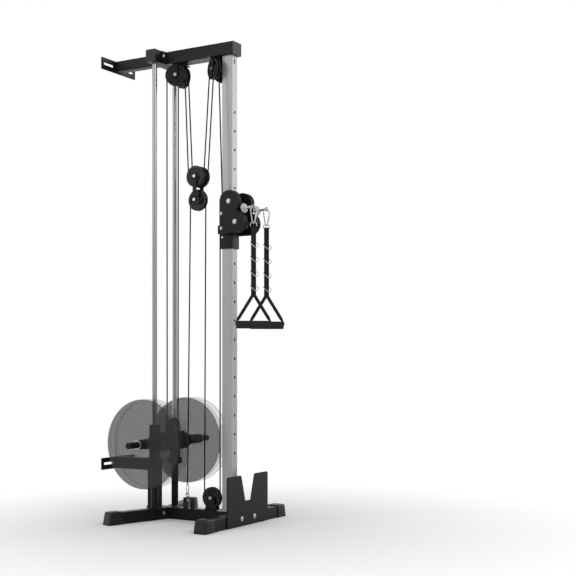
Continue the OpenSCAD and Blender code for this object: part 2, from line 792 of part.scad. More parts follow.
module trolley_collar() {
    color(black) {
        difference() {
            translate([0, upright_d / 2, collar_bottom])
                tube(2 * collar_half_w, collar_back - collar_front, collar_top - collar_bottom,
                    collar_wall);
            // way through for the selector pin
            translate([0, 0, pin_z]) rotate([90, 0, 0])
                cylinder(r = pin_d / 2 + 0.5, h = 3 * collar_wall + 10);
        for (z = liner_screws_z) translate([0, upright_d - 8, z])
            shaft_x(screw_r + seat_gap, 3 * upright_w);
        }
        // boxes that carry the inner cheeks
        for (s = [-1, 1])
            translate([s > 0 ? collar_half_w : -cheek_in + strap_t, -box_lead, pin_z - box_drop])
                cube([cheek_in - strap_t - collar_half_w, box_d, box_h]);
        // barrel of the selector pin
        translate([0, collar_front, pin_z]) rotate([90, 0, 0]) difference() {
            cylinder(r = barrel_r, h = barrel_l);
            translate([0, 0, -1]) cylinder(r = spring_r + 0.5, h = barrel_l - 4);
            translate([0, 0, -1]) cylinder(r = pin_d / 2 + running_gap, h = barrel_l + 2);
        }
        // lug for the end of the lower cable
        translate([-lug_w / 2, collar_back, lug_bottom])
            cube([lug_w, lug_y - collar_back + lug_end, lug_h]);
    }
}
box_lead = 2;               // how far the boxes reach in front of the upright
box_d = 48;
box_drop = 28;              // their low end below the selector pin
box_h = 120;
lug_w = 16;
lug_h = 42;
lug_end = 9;                // lug behind the cable's axis
barrel_r = 14;
barrel_l = 30;
spring_r = 9;
pin_travel = 14;            // way of the selector pin into its hole
seat_y = collar_front - 4 - pin_travel;    // back of the ring that the spring pushes on
screw_r = 3;
liner_h = 40;
low_screw_rise = 56;        // from the low liner's end to its screw
high_screw_rise = 21;
liner_low = collar_bottom + 1;
liner_high = collar_top - liner_h - 1;
liner_screws_z = [liner_low + low_screw_rise, liner_high + high_screw_rise];

module trolley_liners() {
    over = 2 * fit_gap + 2 * liner_t - 0.1;
    color(nylon) difference() {
        for (z = [liner_low, liner_high]) translate([0, upright_d / 2, z])
            linear_extrude(liner_h) difference() {
                rounded(upright_w + over, upright_d + over, 1);
                square([upright_w + 2 * fit_gap, upright_d + 2 * fit_gap], center = true);
            }
        translate([0, upright_d - 8, liner_screws_z[1]]) shaft_x(screw_r + seat_gap, 3 * upright_w);
    }
}

// Outline of a trolley cheek, in Y and Z
module cheek_outline() {
    translate(upper_axle) circle(lobe_r, $fn = 64);
    translate(lower_axle) circle(lobe_r, $fn = 64);
    translate([upper_axle[0], cheek_bottom])
        square([cheek_back - upper_axle[0], upper_axle[1] - cheek_bottom]);
    translate([lower_axle[0], cheek_bottom])
        square([cheek_back - lower_axle[0], lower_axle[1] - cheek_bottom]);
    polygon([upper_axle, upper_axle + [-neck_reach, -neck_fall],
        (upper_axle + lower_axle) / 2 + [-neck_depth, neck_shift],
        lower_axle + [-neck_depth, neck_rise], lower_axle, [upper_axle[0], lower_axle[1]]]);
}
neck_reach = 51;            // where the notch between the lobes starts, from the upper axle
neck_fall = 23;
neck_depth = 26;            // its bottom, from the line of the axles
neck_shift = 6;
neck_rise = 40;             // where it ends, above the lower axle

module trolley_cheeks() {
    color(black) for (x = [-cheek_out - cheek_t, -cheek_in, cheek_in - strap_t, cheek_out])
        translate([x, 0, 0]) rotate([90, 0, 90]) difference() {
            linear_extrude(abs(x) < trolley_pulley_x ? strap_t : cheek_t) cheek_outline();
            for (p = [upper_axle, lower_axle, spacer_high, spacer_low])
                translate([p[0], p[1], -1]) cylinder(r = axle_r + seat_gap, h = cheek_t + 2);
        }
}
spacer_inset = 12;
spacer_rise = 55;
spacer_drop = 18;
spacer_high = [cheek_back - spacer_inset, pin_z + spacer_rise];
spacer_low = [cheek_back - spacer_inset, pin_z - spacer_drop];

// Bolt through one pair of cheeks on the near side
module cheek_bolt(p, r, head_r) {
    outer = cheek_out + cheek_t;
    inner = cheek_in - strap_t;
    translate([-outer, p[0], p[1]]) rotate([0, -90, 0]) washer_bolt(r, head_r, outer - inner);
}

module trolley_bolts() {
    color(silver) both() {
        for (p = [upper_axle, lower_axle]) {
            cheek_bolt(p, axle_r, 10);
            bar([-cheek_in + strap_t, p[0], p[1]], [-cheek_in + strap_t + 6, p[0], p[1]], 8);
        }
        for (p = [spacer_high, spacer_low]) {
            cheek_bolt(p, axle_r - 1, 6);
            translate([-(cheek_in + cheek_out) / 2, p[0], p[1]]) difference() {
                shaft_x(8, cheek_out - cheek_in);
                shaft_x(axle_r - 1 + seat_gap, cheek_out);
            }
        }
        // screws of the liners
        for (z = liner_screws_z) translate([-collar_half_w, upright_d - 8, z])
            rotate([0, -90, 0]) {
                hex_head(6, 4);
                translate([0, 0, -collar_wall - 2]) cylinder(r = screw_r, h = collar_wall + 2);
            }
    }
}

module trolley_pulley_pair(p) {
    for (s = [-1, 1]) translate([s * trolley_pulley_x, p[0], p[1]]) pulley();
}
module trolley_upper_pulleys() { trolley_pulley_pair(upper_axle); }
module trolley_lower_pulleys() { trolley_pulley_pair(lower_axle); }

// Selector pin, drawn out of its hole as when the trolley is moved
module selector_pin() {
    tip = 8 - pin_travel;
    barrel_end = collar_front - barrel_l - pin_travel;
    color(silver) bar([0, tip, pin_z], [0, barrel_end - 12, pin_z], pin_d / 2);
    color(silver) difference() {
        bar([0, seat_y + 2, pin_z], [0, seat_y, pin_z], spring_r);
        bar([0, seat_y + 4, pin_z], [0, seat_y - 2, pin_z], pin_d / 2);
    }
    color(black) translate([0, barrel_end - fit_gap, pin_z]) rotate([90, 0, 0]) difference() {
        rotate_extrude() polygon([[0, 0], [10, 0], [10, 8], [knob_d / 2 - 2, 14],
            [knob_d / 2, 16], [knob_d / 2, 21], [knob_d / 2 - 3, 24], [0, 24]]);
        translate([0, 0, -1]) cylinder(r = pin_d / 2, h = 13 - fit_gap);
    }
}

module selector_spring() {
    // closed solid of the coil inside the barrel
    color(silver) difference() {
        bar([0, seat_y - fit_gap, pin_z], [0, collar_front - barrel_l + 5, pin_z], spring_r - 0.5);
        bar([0, collar_front, pin_z], [0, collar_front - barrel_l, pin_z], pin_d / 2 + 0.4);
    }
}

module trolley_cable_wraps() {
    color(cable_black) for (s = [-1, 1])
        translate([s * trolley_pulley_x, upper_axle[0], upper_axle[1]])
            wrap(270 - exit_tilt, 90 + exit_tilt);
}

module carriage_frame() {
    eye_h = carriage_pulley_z - peg_z;
    strap_front_y = carriage_pulley_y - strap_out;
    color(black) difference() {
        union() {
            both() translate([-rod_pitch / 2, rod_y, sleeve_bottom]) cylinder(d = sleeve_d, h = sleeve_l);
            translate([-(stop_x - stop_t), cross_front, cross_low])
                cube([2 * (stop_x - stop_t), cross_back - cross_front, cross_h]);
            // front and rear straps of the carriage pulley, and the web below it
            for (y = [strap_front_y, cross_front - strap_t + 1]) translate([0, y + strap_t, peg_z])
                rotate([90, 0, 0]) linear_extrude(strap_t) {
                    translate([0, eye_h]) circle(strap_r + 3);
                    translate([-strap_r - 3, cross_low - peg_z])
                        square([2 * strap_r + 6, carriage_pulley_z - cross_low]);
                }
            translate([-strap_r - 3, strap_front_y, cross_low])
                cube([2 * strap_r + 6, cross_front - strap_front_y, 8]);
            both() {
                bar([-(stop_x - stop_t), peg_y, peg_z], [-stop_x, peg_y, peg_z], stop_d / 2);
                // the peg is a little thinner inside its sleeve, so the sleeve can't slide off
                bar([-stop_x, peg_y, peg_z], [-peg_shoulder_x, peg_y, peg_z], peg_r - peg_step);
                bar([-peg_shoulder_x, peg_y, peg_z], [-peg_tip_x, peg_y, peg_z], peg_r);
            }
        }
        both() {
            translate([-rod_pitch / 2, rod_y, sleeve_bottom - 1]) cylinder(r = bush_r, h = sleeve_l + 2);
            translate([-body_screw_x, cross_front - 1, peg_z]) rotate([-90, 0, 0])
                cylinder(r = screw_r + 1 + seat_gap, h = 15);
        }
        translate([0, strap_front_y - 1, carriage_pulley_z]) rotate([-90, 0, 0])
            cylinder(r = axle_r + seat_gap, h = 2 * strap_out + 30);
    }
}

body_screw_x = 60;

module guide_bushings() {
    color(nylon) both() for (z = [sleeve_bottom + fit_gap, sleeve_bottom + sleeve_l - 35])
        translate([-rod_pitch / 2, rod_y, z]) difference() {
            cylinder(r = bush_r - 0.02, h = 35);
            translate([0, 0, -1]) cylinder(r = rod_d / 2 + running_gap, h = 37);
        }
}

module peg_adapters() {
    color(nylon) both() translate([-stop_x - adapter_l, peg_y, peg_z]) rotate([0, 90, 0])
        difference() {
            cylinder(d = adapter_d, h = adapter_l);
            translate([0, 0, -1]) cylinder(r = peg_r - peg_step + seat_gap, h = adapter_l + 2);
        }
}

module carriage_fasteners() {
    strap_front_y = carriage_pulley_y - strap_out;
    color(silver) {
        // axle of the carriage pulley
        translate([0, strap_front_y, carriage_pulley_z]) rotate([90, 0, 0]) {
            translate([0, 0, -2 * strap_out]) cylinder(r = axle_r, h = 2 * strap_out);
            hex_head(9, 6);
        }
        translate([0, cross_front + 1, carriage_pulley_z]) rotate([-90, 0, 0]) hex_head(9, 6);
        // screws on the cross body's front face
        for (s = [-1, 1]) translate([s * body_screw_x, cross_front, peg_z]) rotate([90, 0, 0])
            washer_bolt(screw_r + 1, 7, 12);
    }
}

module carriage_pulley() {
    translate([0, carriage_pulley_y, carriage_pulley_z]) rotate([0, 0, 90]) pulley();
}

module carriage_cable_wrap() {
    color(cable_black) translate([0, carriage_pulley_y, carriage_pulley_z])
        rotate([0, 0, 90]) wrap(180, 180);
}

// Weight plate on the near peg: rim, sunk face and hub
module weight_disc(i) {
    r = disc_d / 2;
    hub = 52;
    x = disc_in + i * (disc_t + disc_gap);
    translate([-x, peg_y, peg_z]) rotate([0, -90, 0]) rotate_extrude($fn = 96) polygon([
        [disc_bore / 2, 0], [hub, 0], [hub + 3, 4], [r - 34, 4], [r - 28, 0], [r - 4, 0], [r, 4],
        [r, disc_t - 4], [r - 4, disc_t], [r - 28, disc_t], [r - 34, disc_t - 4],
        [hub + 3, disc_t - 4], [hub, disc_t], [disc_bore / 2, disc_t]]);
}

module near_plates() { color(plate_grey) for (i = [0, 1]) weight_disc(i); }
module far_plates() { mirror([1, 0, 0]) near_plates(); }

module cable_trolley_strands() {
    color(cable_black) both() bar([-trolley_pulley_x, upper_axle[0] + pitch_r, upper_axle[1] + fit_gap],
        [front_out[0], front_out[1], top_pulley_z], cable_r);
}

module cable_block_strands() {
    color(cable_black) both() {
        bar([-block_pulley_x, block_y - pitch_r, block_z + fit_gap],
            [front_in[0], front_in[1], top_pulley_z], cable_r);
        bar([-block_pulley_x, block_y + pitch_r, block_z + fit_gap],
            [rear_in[0], rear_in[1], top_pulley_z], cable_r);
    }
}

module cable_carriage_strands() {
    color(cable_black) both() bar([-pitch_r, carriage_pulley_y, carriage_pulley_z + fit_gap],
        [rear_out[0], rear_out[1], top_pulley_z], cable_r);
}

module cable_lower_block_strands() {
    color(cable_black) {
        bar([0, anchor_y, strand_foot_z], [0, block_y + pitch_r, block_lower_z - fit_gap], cable_r);
        bar([0, base_pulley_y + pitch_r, strand_foot_z],
            [0, block_y - pitch_r, block_lower_z - fit_gap], cable_r);
    }
}

module cable_lower_trolley_strand() {
    color(cable_black) bar([0, lug_y, strand_foot_z], [0, lug_y, lug_bottom], cable_r);
}

// End of the main cable on one side: cable, stop disc, pressed sleeve and ring
module cable_end(s) {
    tip = (strap_front - link_ring_r * cos(clip_yaw) - upper_axle_front) / cos(exit_tilt);
    stop = (-stop_y - upper_axle_front) / cos(exit_tilt);
    translate([s * trolley_pulley_x, upper_axle[0], exit_z]) rotate([90 - exit_tilt, 0, 0]) {
        color(cable_black) translate([0, 0, pitch_r * tan(exit_tilt)])
            cylinder(r = cable_r, h = stop - pitch_r * tan(exit_tilt));
        color(silver) translate([0, 0, stop]) rotate_extrude() polygon([[0, 0], [25, 0],
            [25, 5], [21, 12], [9, 16], [6.5, 20], [6.5, tip - stop], [0, tip - stop]]);
    }
    color(silver) translate([s * trolley_pulley_x, -strap_front, ring_z])
        rotate([0, 0, clip_yaw]) rotate([0, 90, 0])
        rotate_extrude() translate([link_ring_r, 0]) circle(link_r, $fn = 16);
}
module near_cable_end() { cable_end(-1); }
module far_cable_end() { cable_end(1); }

// Carabiner on the ring at the cable's end
module clip_on_cable(s) {
    color(silver) translate([s * trolley_pulley_x, -strap_front, clip_z]) rotate([0, 0, clip_yaw])
        clip_shape();
}
module near_carabiner() { clip_on_cable(-1); }
module far_carabiner() { clip_on_cable(1); }

// Turned like the hanging handles, with the origin on the strap's axis
module at_strap(s) {
    translate([s * trolley_pulley_x, -strap_front, 0]) rotate([0, 0, handle_yaw]) children();
}

// Long strap with its rings, and the triangle of webbing below it
module strap_parts() {
    color(web_black) {
        // loop round the ring's lower bar, then the strap
        translate([0, 0, strap_top_z]) difference() {
            union() {
                shaft_x(loop_r + web_t / 2, web_w);
                translate([-web_w / 2, -web_t / 2, -strap_l]) cube([web_w, web_t, strap_l - loop_r]);
            }
            shaft_x(loop_r - web_t / 2, web_w + 2);
        }
        handle_web();
    }
    color(silver) {
        translate([0, 0, strap_top_z]) buckle();
        for (i = [0 : 3]) translate([0, 0, strap_top_z - first_ring_drop - i * ring_pitch]) d_ring();
    }
}
ring_wire = 1.8;
ring_half_w = 13;           // half the width of a D-ring
ring_tilt = 32;             // fall of a D-ring across the strap
ring_lean = 60;             // turn that hangs its front below its back
ring_shift = 2.5;           // keeps the leaning bar clear of the strap
ring_bar_x = -(web_w / 2 + 2 * ring_wire + ring_shift) / cos(ring_tilt);
ring_bow_x = web_w / 2 / cos(ring_tilt) - 1.5;
first_ring_drop = 86;

// Bar along Z between two points of the XZ plane, with round ends
module link_bar(a, b, r) {
    bar([a[0], 0, a[1]], [b[0], 0, b[1]], r);
    for (p = [a, b]) translate([p[0], 0, p[1]]) sphere(r + 0.2, $fn = 20);
}

// Rectangular ring in the XZ plane, its lower bar at the origin
module buckle() {
    half = buckle_w / 2;
    link_bar([-half, 0], [half, 0], buckle_wire);
    top = half - buckle_taper;
    link_bar([-top, buckle_h], [top, buckle_h], buckle_wire);
    for (s = [-1, 1]) bar([s * half, 0, 0], [s * top, 0, buckle_h], buckle_wire);
}

// D-ring round the strap: bar at the left, bow at the right and lower, front side hanging down
module d_ring() {
    rotate([0, ring_tilt, 0]) rotate([ring_lean, 0, 0]) rotate([90, 0, 0]) {
        link_bar([ring_bar_x, -ring_half_w], [ring_bar_x, ring_half_w], ring_wire);
        for (z = [-ring_half_w, ring_half_w]) bar([ring_bar_x, 0, z], [ring_bow_x, 0, z], ring_wire);
        translate([ring_bow_x, 0, 0]) rotate([90, 0, 0]) rotate([0, 0, -90])
            rotate_extrude(angle = 180, $fn = 40) translate([ring_half_w, 0]) circle(ring_wire, $fn = 16);
    }
}

// Triangle of folded webbing: sloping legs, corners round the grip's ends, run inside the grip
module handle_web() {
    half = handle_w / 2;
    top = web_w / 2 - apex_inset;
    apex = strap_bottom_z;
    lean = atan((half - top) / (apex - handle_base_z));
    across = leg_w / cos(lean);
    rotate([90, 0, 0]) linear_extrude(leg_d, center = true) {
        difference() {
            polygon([[-top, apex + apex_lap], [top, apex + apex_lap], [top, apex],
                [half, handle_base_z + fit_gap], [-half, handle_base_z + fit_gap], [-top, apex]]);
            polygon([[0, apex - (across - top) / tan(lean)], [half - across, handle_base_z],
                [across - half, handle_base_z]]);
        }
        for (x = [-half, half - web_t]) translate([x, grip_z - web_t / 2])
            square([web_t, grip_d / 2 + web_t]);
        translate([-half, grip_z - web_t / 2]) square([handle_w, web_t]);
    }
}
leg_w = 14.5;               // width of a folded leg in the triangle's plane
leg_d = 9;
apex_inset = 3;
apex_lap = 4;               // how far the triangle overlaps the strap

module near_strap() { at_strap(-1) strap_parts(); }
module far_strap() { at_strap(1) strap_parts(); }

module grip() {
    l = handle_w - 2 * web_t - 1;
    color(rubber) translate([0, 0, grip_z]) difference() {
        shaft_x(grip_d / 2, l);
        shaft_x(grip_bore / 2, l + 2);
    }
}
grip_bore = 25;
module near_grip() { at_strap(-1) grip(); }
module far_grip() { at_strap(1) grip(); }

upright();
top_beam();
top_crossbar();
upper_wall_bracket();
lower_wall_bracket();
base_beam();
rear_legs();
front_foot();
foot_plate();
end_caps();
guide_rods();
rod_standoffs();
rubber_bumpers();
rear_pulley_hanger();
front_pulley_hanger();
base_pulley_bracket();
frame_fasteners();
anchor_carabiner();
cable_frame_wraps();
near_rear_top_pulley();
far_rear_top_pulley();
near_front_top_pulley();
far_front_top_pulley();
base_pulley();
block_cheeks();
block_axles();
block_upper_pulleys();
block_lower_pulley();
block_cable_wraps();
trolley_collar();
trolley_liners();
trolley_cheeks();
trolley_bolts();
trolley_upper_pulleys();
trolley_lower_pulleys();
selector_pin();
trolley_cable_wraps();
carriage_frame();
guide_bushings();
peg_adapters();
carriage_fasteners();
carriage_pulley();
carriage_cable_wrap();
near_plates();
far_plates();
cable_trolley_strands();
cable_block_strands();
cable_carriage_strands();
cable_lower_block_strands();
cable_lower_trolley_strand();
near_cable_end();
far_cable_end();
near_carabiner();
far_carabiner();
near_strap();
far_strap();
near_grip();
far_grip();
selector_spring();
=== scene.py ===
# %% [markdown]
# # A wall-mounted cable machine
# The frame, its joints and its sizes come from the CAD model. This file gives that model its
# looks: each CAD solid either gets rounded edges and a finish, or is replaced by a finer surface
# of the same size that moves with the same body.

import bmesh
import bpy
import numpy as np
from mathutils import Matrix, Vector


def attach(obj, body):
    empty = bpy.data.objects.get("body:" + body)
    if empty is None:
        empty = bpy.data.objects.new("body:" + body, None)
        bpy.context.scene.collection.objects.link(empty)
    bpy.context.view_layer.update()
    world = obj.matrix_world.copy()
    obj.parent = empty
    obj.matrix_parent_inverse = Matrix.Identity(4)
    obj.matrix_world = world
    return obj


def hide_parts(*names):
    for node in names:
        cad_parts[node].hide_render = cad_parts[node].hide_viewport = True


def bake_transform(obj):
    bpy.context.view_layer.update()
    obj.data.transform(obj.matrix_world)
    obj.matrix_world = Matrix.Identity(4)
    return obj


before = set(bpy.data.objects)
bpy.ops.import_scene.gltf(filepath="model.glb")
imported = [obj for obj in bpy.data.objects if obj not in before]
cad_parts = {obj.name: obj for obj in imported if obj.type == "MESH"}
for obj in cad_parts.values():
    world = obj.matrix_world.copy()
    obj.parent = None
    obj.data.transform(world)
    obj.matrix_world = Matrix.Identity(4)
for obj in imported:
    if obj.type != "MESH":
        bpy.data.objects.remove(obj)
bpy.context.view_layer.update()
MM = 0.001  # shapes are worked out in millimetres

# %% [markdown]
# ## Lines with rounded corners
# Turned, bent and pressed parts have no sharp corners. Each outline here is written as a few
# corner points, and every corner is then replaced by an arc. Drawing the arcs by hand would work
# too, but a radius is easier to read and to change than a list of points.

# %% Rounded lines
EDGE_SHARE = 0.45  # an arc takes no more than this share of the lines beside it
STRAIGHT = 1.55  # half an opening angle past this, in radians, is as good as straight


def unit(v):
    """Vector of length one with the direction of v, along the last axis."""
    v = np.asarray(v, float)
    return v / np.linalg.norm(v, axis=-1, keepdims=True)


def fillet(corners, r, closed=False, k=5):
    """Rounds a line's corners with k points each. At a corner of opening angle a the arc starts
    r / tan(a/2) away from it, and its centre lies r / sin(a/2) away on the bisector. Works for
    2-D and 3-D points, with one radius for all corners or one for each."""
    c = np.asarray(corners, float)
    radii = np.broadcast_to(r, len(c))
    out = []
    for i in range(len(c)):
        if not closed and i in (0, len(c) - 1):
            out.append(c[i][None])
            continue
        to_a, to_b = c[i - 1] - c[i], c[(i + 1) % len(c)] - c[i]
        la, lb = np.linalg.norm(to_a), np.linalg.norm(to_b)
        da, db = to_a / la, to_b / lb
        half = np.arccos(np.clip(da @ db, -1, 1)) / 2
        t = min(radii[i] / np.tan(half), EDGE_SHARE * la, EDGE_SHARE * lb)
        if t < 1e-4 or half > STRAIGHT:
            out.append(c[i][None])
            continue
        rr = t * np.tan(half)
        centre = c[i] + unit(da + db) * rr / np.sin(half)
        s, e, turn = c[i] + da * t - centre, c[i] + db * t - centre, np.pi - 2 * half
        w = np.linspace(0, 1, k)[:, None]
        out.append(centre + (np.sin((1 - w) * turn) * s + np.sin(w * turn) * e) / np.sin(turn))
    return np.concatenate(out)


def dense(points, step=3.0):
    """Points about `step` apart on the same line, each coordinate interpolated by length."""
    p = np.asarray(points, float)
    run = np.concatenate([[0], np.cumsum(np.linalg.norm(np.diff(p, axis=0), axis=1))])
    at = np.union1d(run, np.arange(0, run[-1], step))
    return np.stack([np.interp(at, run, c) for c in p.T], -1)


def circle(r, n=16):
    """Circle of radius r as (x, y) points."""
    t = np.linspace(0, 2 * np.pi, n, endpoint=False)
    return np.stack([r * np.cos(t), r * np.sin(t)], -1)


print("a square with round corners has", len(fillet([(0, 0), (9, 0), (9, 9), (0, 9)], 2, True)),
      "points")

# %% [markdown]
# ## Shapes as grids of points
# A pulley is a profile turned round an axle and a cable is a circle carried along a path. Both are
# one grid: rows run along the profile or path, columns run round it. Such a grid could be modelled
# by hand with Spin and Curve objects, but as arrays every size stays a number that can be read.

# %% Lathes and sweeps
def lathe(profile, n=72, ripple=0.0, lobes=0):
    """Profile of (r, h) turned about z: x = r cos t, y = r sin t, z = h. With lobes, the radius
    swells and shrinks round the axis by the share `ripple`."""
    p = np.asarray(profile, float)
    t = np.linspace(0, 2 * np.pi, n, endpoint=False)
    swell = 1 + ripple * np.cos(lobes * t)
    r = p[:, :1] * swell
    return np.stack([r * np.cos(t), r * np.sin(t), np.broadcast_to(p[:, 1:], r.shape)], -1)


def mirrored(half, width=0.0):
    """Profile (r, h) with its own mirror image added, so that both faces of a wheel or a disc are
    alike. h becomes width - h, and the points run back the other way."""
    return half + [(r, width - h) for r, h in half[::-1]]


def sweep(path, section, up, closed=False):
    """Section carried along a path: point = path + x * side + y * rise, where side is at right
    angles to the path and to `up`, and rise completes the three. One section or one per row."""
    p = np.asarray(path, float)
    if closed:
        along = np.roll(p, -1, 0) - np.roll(p, 1, 0)
    else:
        along = np.gradient(p, axis=0)
    along = unit(along)
    side = unit(np.cross(np.broadcast_to(np.asarray(up, float), p.shape), along))
    rise = np.cross(along, side)
    s = np.broadcast_to(section, (len(p),) + np.shape(section)[-2:])
    return p[:, None] + s[..., :1] * side[:, None] + s[..., 1:] * rise[:, None]


def place(grid, origin, axis=(0, 0, 1), side=(1, 0, 0.5)):
    """Moves a grid made about z so that z runs along `axis` from `origin`, and x as near to
    `side` as it can. The usual side is along no axis in use."""
    e3 = unit(axis)
    e1 = unit(np.asarray(side, float) - np.dot(side, e3) * e3)
    return np.asarray(origin, float) + grid @ np.stack([e1, np.cross(e3, e1), e3])


print("a lathe of 5 by 12 points:", lathe([(1, 0), (2, 0), (2, 1), (1, 1), (1, 0.5)], 12).shape)

# %% [markdown]
# ## From a grid to a skin
# A mesh needs points, faces and texture coordinates. The faces are the cells of the grid, and the
# texture coordinates are lengths in metres, so that a weave has its real size. The signed volume
# of the grid tells which way it faces, and a grid that faces inwards is turned over.

# %% Skins
def skin(grid, ring):
    """Vertices, faces and texture coordinates of grid[row, column]. Cells are quads, columns close
    on themselves, rows close too for a ring, and otherwise the end rows are capped. The volume is
    the sum of each face's corner a times the cross product of its next two corners."""
    m, n = grid.shape[:2]
    i, j = np.meshgrid(np.arange(m if ring else m - 1), np.arange(n), indexing="ij")
    i2, j2 = (i + 1) % m, (j + 1) % n
    quads = np.stack([i * n + j, i * n + j2, i2 * n + j2, i2 * n + j], -1).reshape(-1, 4)
    v = grid.reshape(-1, 3)
    a, b, c, d = (v[quads[:, k]] for k in range(4))
    volume = (np.cross(b, c) * a).sum() + (np.cross(c, d) * a).sum()
    for row, sign in (() if ring else ((grid[0], -1), (grid[-1], 1))):
        volume += sign * (np.cross(row[1:-1], row[2:]) * row[0]).sum()
    if volume < 0:
        return skin(grid[:, ::-1], ring)
    step = np.linalg.norm(np.roll(grid, -1, 0) - grid, axis=2).mean(1)
    along = np.concatenate([[0], np.cumsum(step)]) * MM
    round_it = np.linalg.norm(np.roll(grid, -1, 1) - grid, axis=2).sum(1).mean() * MM
    u, w = j / n * round_it, (j + 1) / n * round_it
    uv = np.stack([u, along[i], w, along[i], w, along[i + 1], u, along[i + 1]], -1)
    uv = uv.reshape(-1, 2).tolist()
    faces = quads.tolist()
    if not ring:
        faces += [list(range(n))[::-1], list(range((m - 1) * n, m * n))]
        uv += [[0, 0]] * (2 * n)
    return v, faces, uv


print("a tube of 2 by 6 points has", len(skin(lathe([(1, 0), (1, 2)], 6), False)[1]), "faces")

# %% [markdown]
# ## From skins to pieces
# A piece is a mesh that rides on one CAD body and stands for one or more CAD solids. Several skins
# that move together, such as four rings, are one piece: that keeps the list of pieces short.

# %% Pieces
SHARP_DEG = 40  # edges that bend more than this stay crisp


def dress(obj, nodes=(), body=None):
    """Puts the piece on its body and hides the CAD nodes that it stands for."""
    if body:
        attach(obj, body)
    if nodes:
        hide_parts(*nodes)
    return obj


def piece(name, parts, materials, nodes=(), body=None, sharp=SHARP_DEG):
    """One object from several (grid, ring, material number) parts, riding on a body. A part that
    is a bare grid has capped ends and the first material."""
    verts, faces, uvs, numbers, base = [], [], [], [], 0
    for part in parts:
        grid, ring, number = part if isinstance(part, tuple) else (part, False, 0)
        v, f, uv = skin(grid, ring)
        verts.append(v * MM)
        faces += [[base + k for k in face] for face in f]
        uvs += uv
        numbers += [number] * len(f)
        base += len(v)
    mesh = bpy.data.meshes.new(name)
    mesh.from_pydata(np.concatenate(verts).tolist(), [], faces)
    mesh.uv_layers.new(name="metres").data.foreach_set("uv", np.ravel(uvs))
    mesh.polygons.foreach_set("material_index", numbers)
    for m in materials:
        mesh.materials.append(m)
    mesh.shade_smooth()
    mesh.set_sharp_from_angle(angle=np.radians(sharp))
    obj = bpy.data.objects.new(name, mesh)
    bpy.context.scene.collection.objects.link(obj)
    return dress(obj, nodes, body)


print("edges sharper than", SHARP_DEG, "degrees stay crisp")

# %% [markdown]
# ## Rounded edges on the steel
# Real plates and tubes have small radii that catch the light. A Bevel modifier could go on the CAD
# mesh itself, but the import has doubled vertices and many thin triangles, so a copy is welded and
# its flat areas are dissolved into single faces first.

# %% Soften a CAD node
WELD, FLAT_DEG = 0.01, 1  # millimetres between doubled points, degrees within one flat area


def soften(node, material, width=0.8, body="frame"):
    """Copy of a CAD node with merged vertices, clean flat faces and bevelled edges."""
    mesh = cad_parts[node].data.copy()
    mesh.name = node + "_soft"
    bm = bmesh.new()
    bm.from_mesh(mesh)
    bmesh.ops.remove_doubles(bm, verts=bm.verts, dist=WELD * MM)
    bmesh.ops.dissolve_limit(bm, angle_limit=np.radians(FLAT_DEG), verts=bm.verts,
                             edges=bm.edges)
    bm.to_mesh(mesh)
    bm.free()
    mesh.materials.clear()
    mesh.materials.append(material)
    mesh.shade_smooth()
    mesh.set_sharp_from_angle(angle=np.radians(SHARP_DEG))
    obj = bpy.data.objects.new(node + "_soft", mesh)
    bpy.context.scene.collection.objects.link(obj)
    bevel = obj.modifiers.new("edge", "BEVEL")
    bevel.width = width * MM
    bevel.segments = 2
    bevel.limit_method = "ANGLE"
    bevel.angle_limit = np.radians(SHARP_DEG)
    bevel.harden_normals = True
    return dress(obj, (node,), body)


print("points closer than", WELD, "mm are welded")

# %% [markdown]
# ## Finishes
# Powder paint has a fine orange-peel bump, ground steel is streaked along its length, and foam is
# pitted. Photographs of such surfaces could be wrapped round the pieces, but noise in the piece's
# own coordinates has no seams and no resolution.

# %% A finish from noise
def finish(name, colour, rough, metal=0.0, spread=0.08, size=400.0, bump=0.0, stretch=(1, 1, 1),
           metres=False, **sockets):
    """Surface whose colour and roughness vary by `spread` with noise of `size` spots a metre, and
    whose height varies with the same noise by `bump` millimetres."""
    mat = bpy.data.materials.new(name)
    mat.use_nodes = True
    nodes, links = mat.node_tree.nodes, mat.node_tree.links
    bsdf = nodes["Principled BSDF"]
    where = nodes.new("ShaderNodeTexCoord").outputs["UV" if metres else "Object"]
    scale = nodes.new("ShaderNodeMapping")
    scale.inputs["Scale"].default_value = stretch
    links.new(where, scale.inputs["Vector"])
    noise = nodes.new("ShaderNodeTexNoise")
    noise.inputs["Scale"].default_value = size
    noise.inputs["Detail"].default_value = 3
    links.new(scale.outputs[0], noise.inputs["Vector"])
    for socket, value in (("Base Color", colour), ("Roughness", rough)):
        value = np.array([*colour, 1.0]) if socket == "Base Color" else value
        ramp = nodes.new("ShaderNodeMix")
        ramp.data_type = "RGBA" if socket == "Base Color" else "FLOAT"
        pins = [p for p in ramp.inputs if p.enabled]
        pins[1].default_value = value * (1 - spread)
        pins[2].default_value = value * (1 + spread)
        links.new(noise.outputs["Fac"], pins[0])
        links.new([p for p in ramp.outputs if p.enabled][0], bsdf.inputs[socket])
    bsdf.inputs["Metallic"].default_value = metal
    for socket, value in sockets.items():
        bsdf.inputs[socket.replace("_", " ")].default_value = value
    if bump:
        relief = nodes.new("ShaderNodeBump")
        relief.inputs["Distance"].default_value = bump * MM
        links.new(noise.outputs["Fac"], relief.inputs["Height"])
        links.new(relief.outputs[0], bsdf.inputs["Normal"])
    return mat


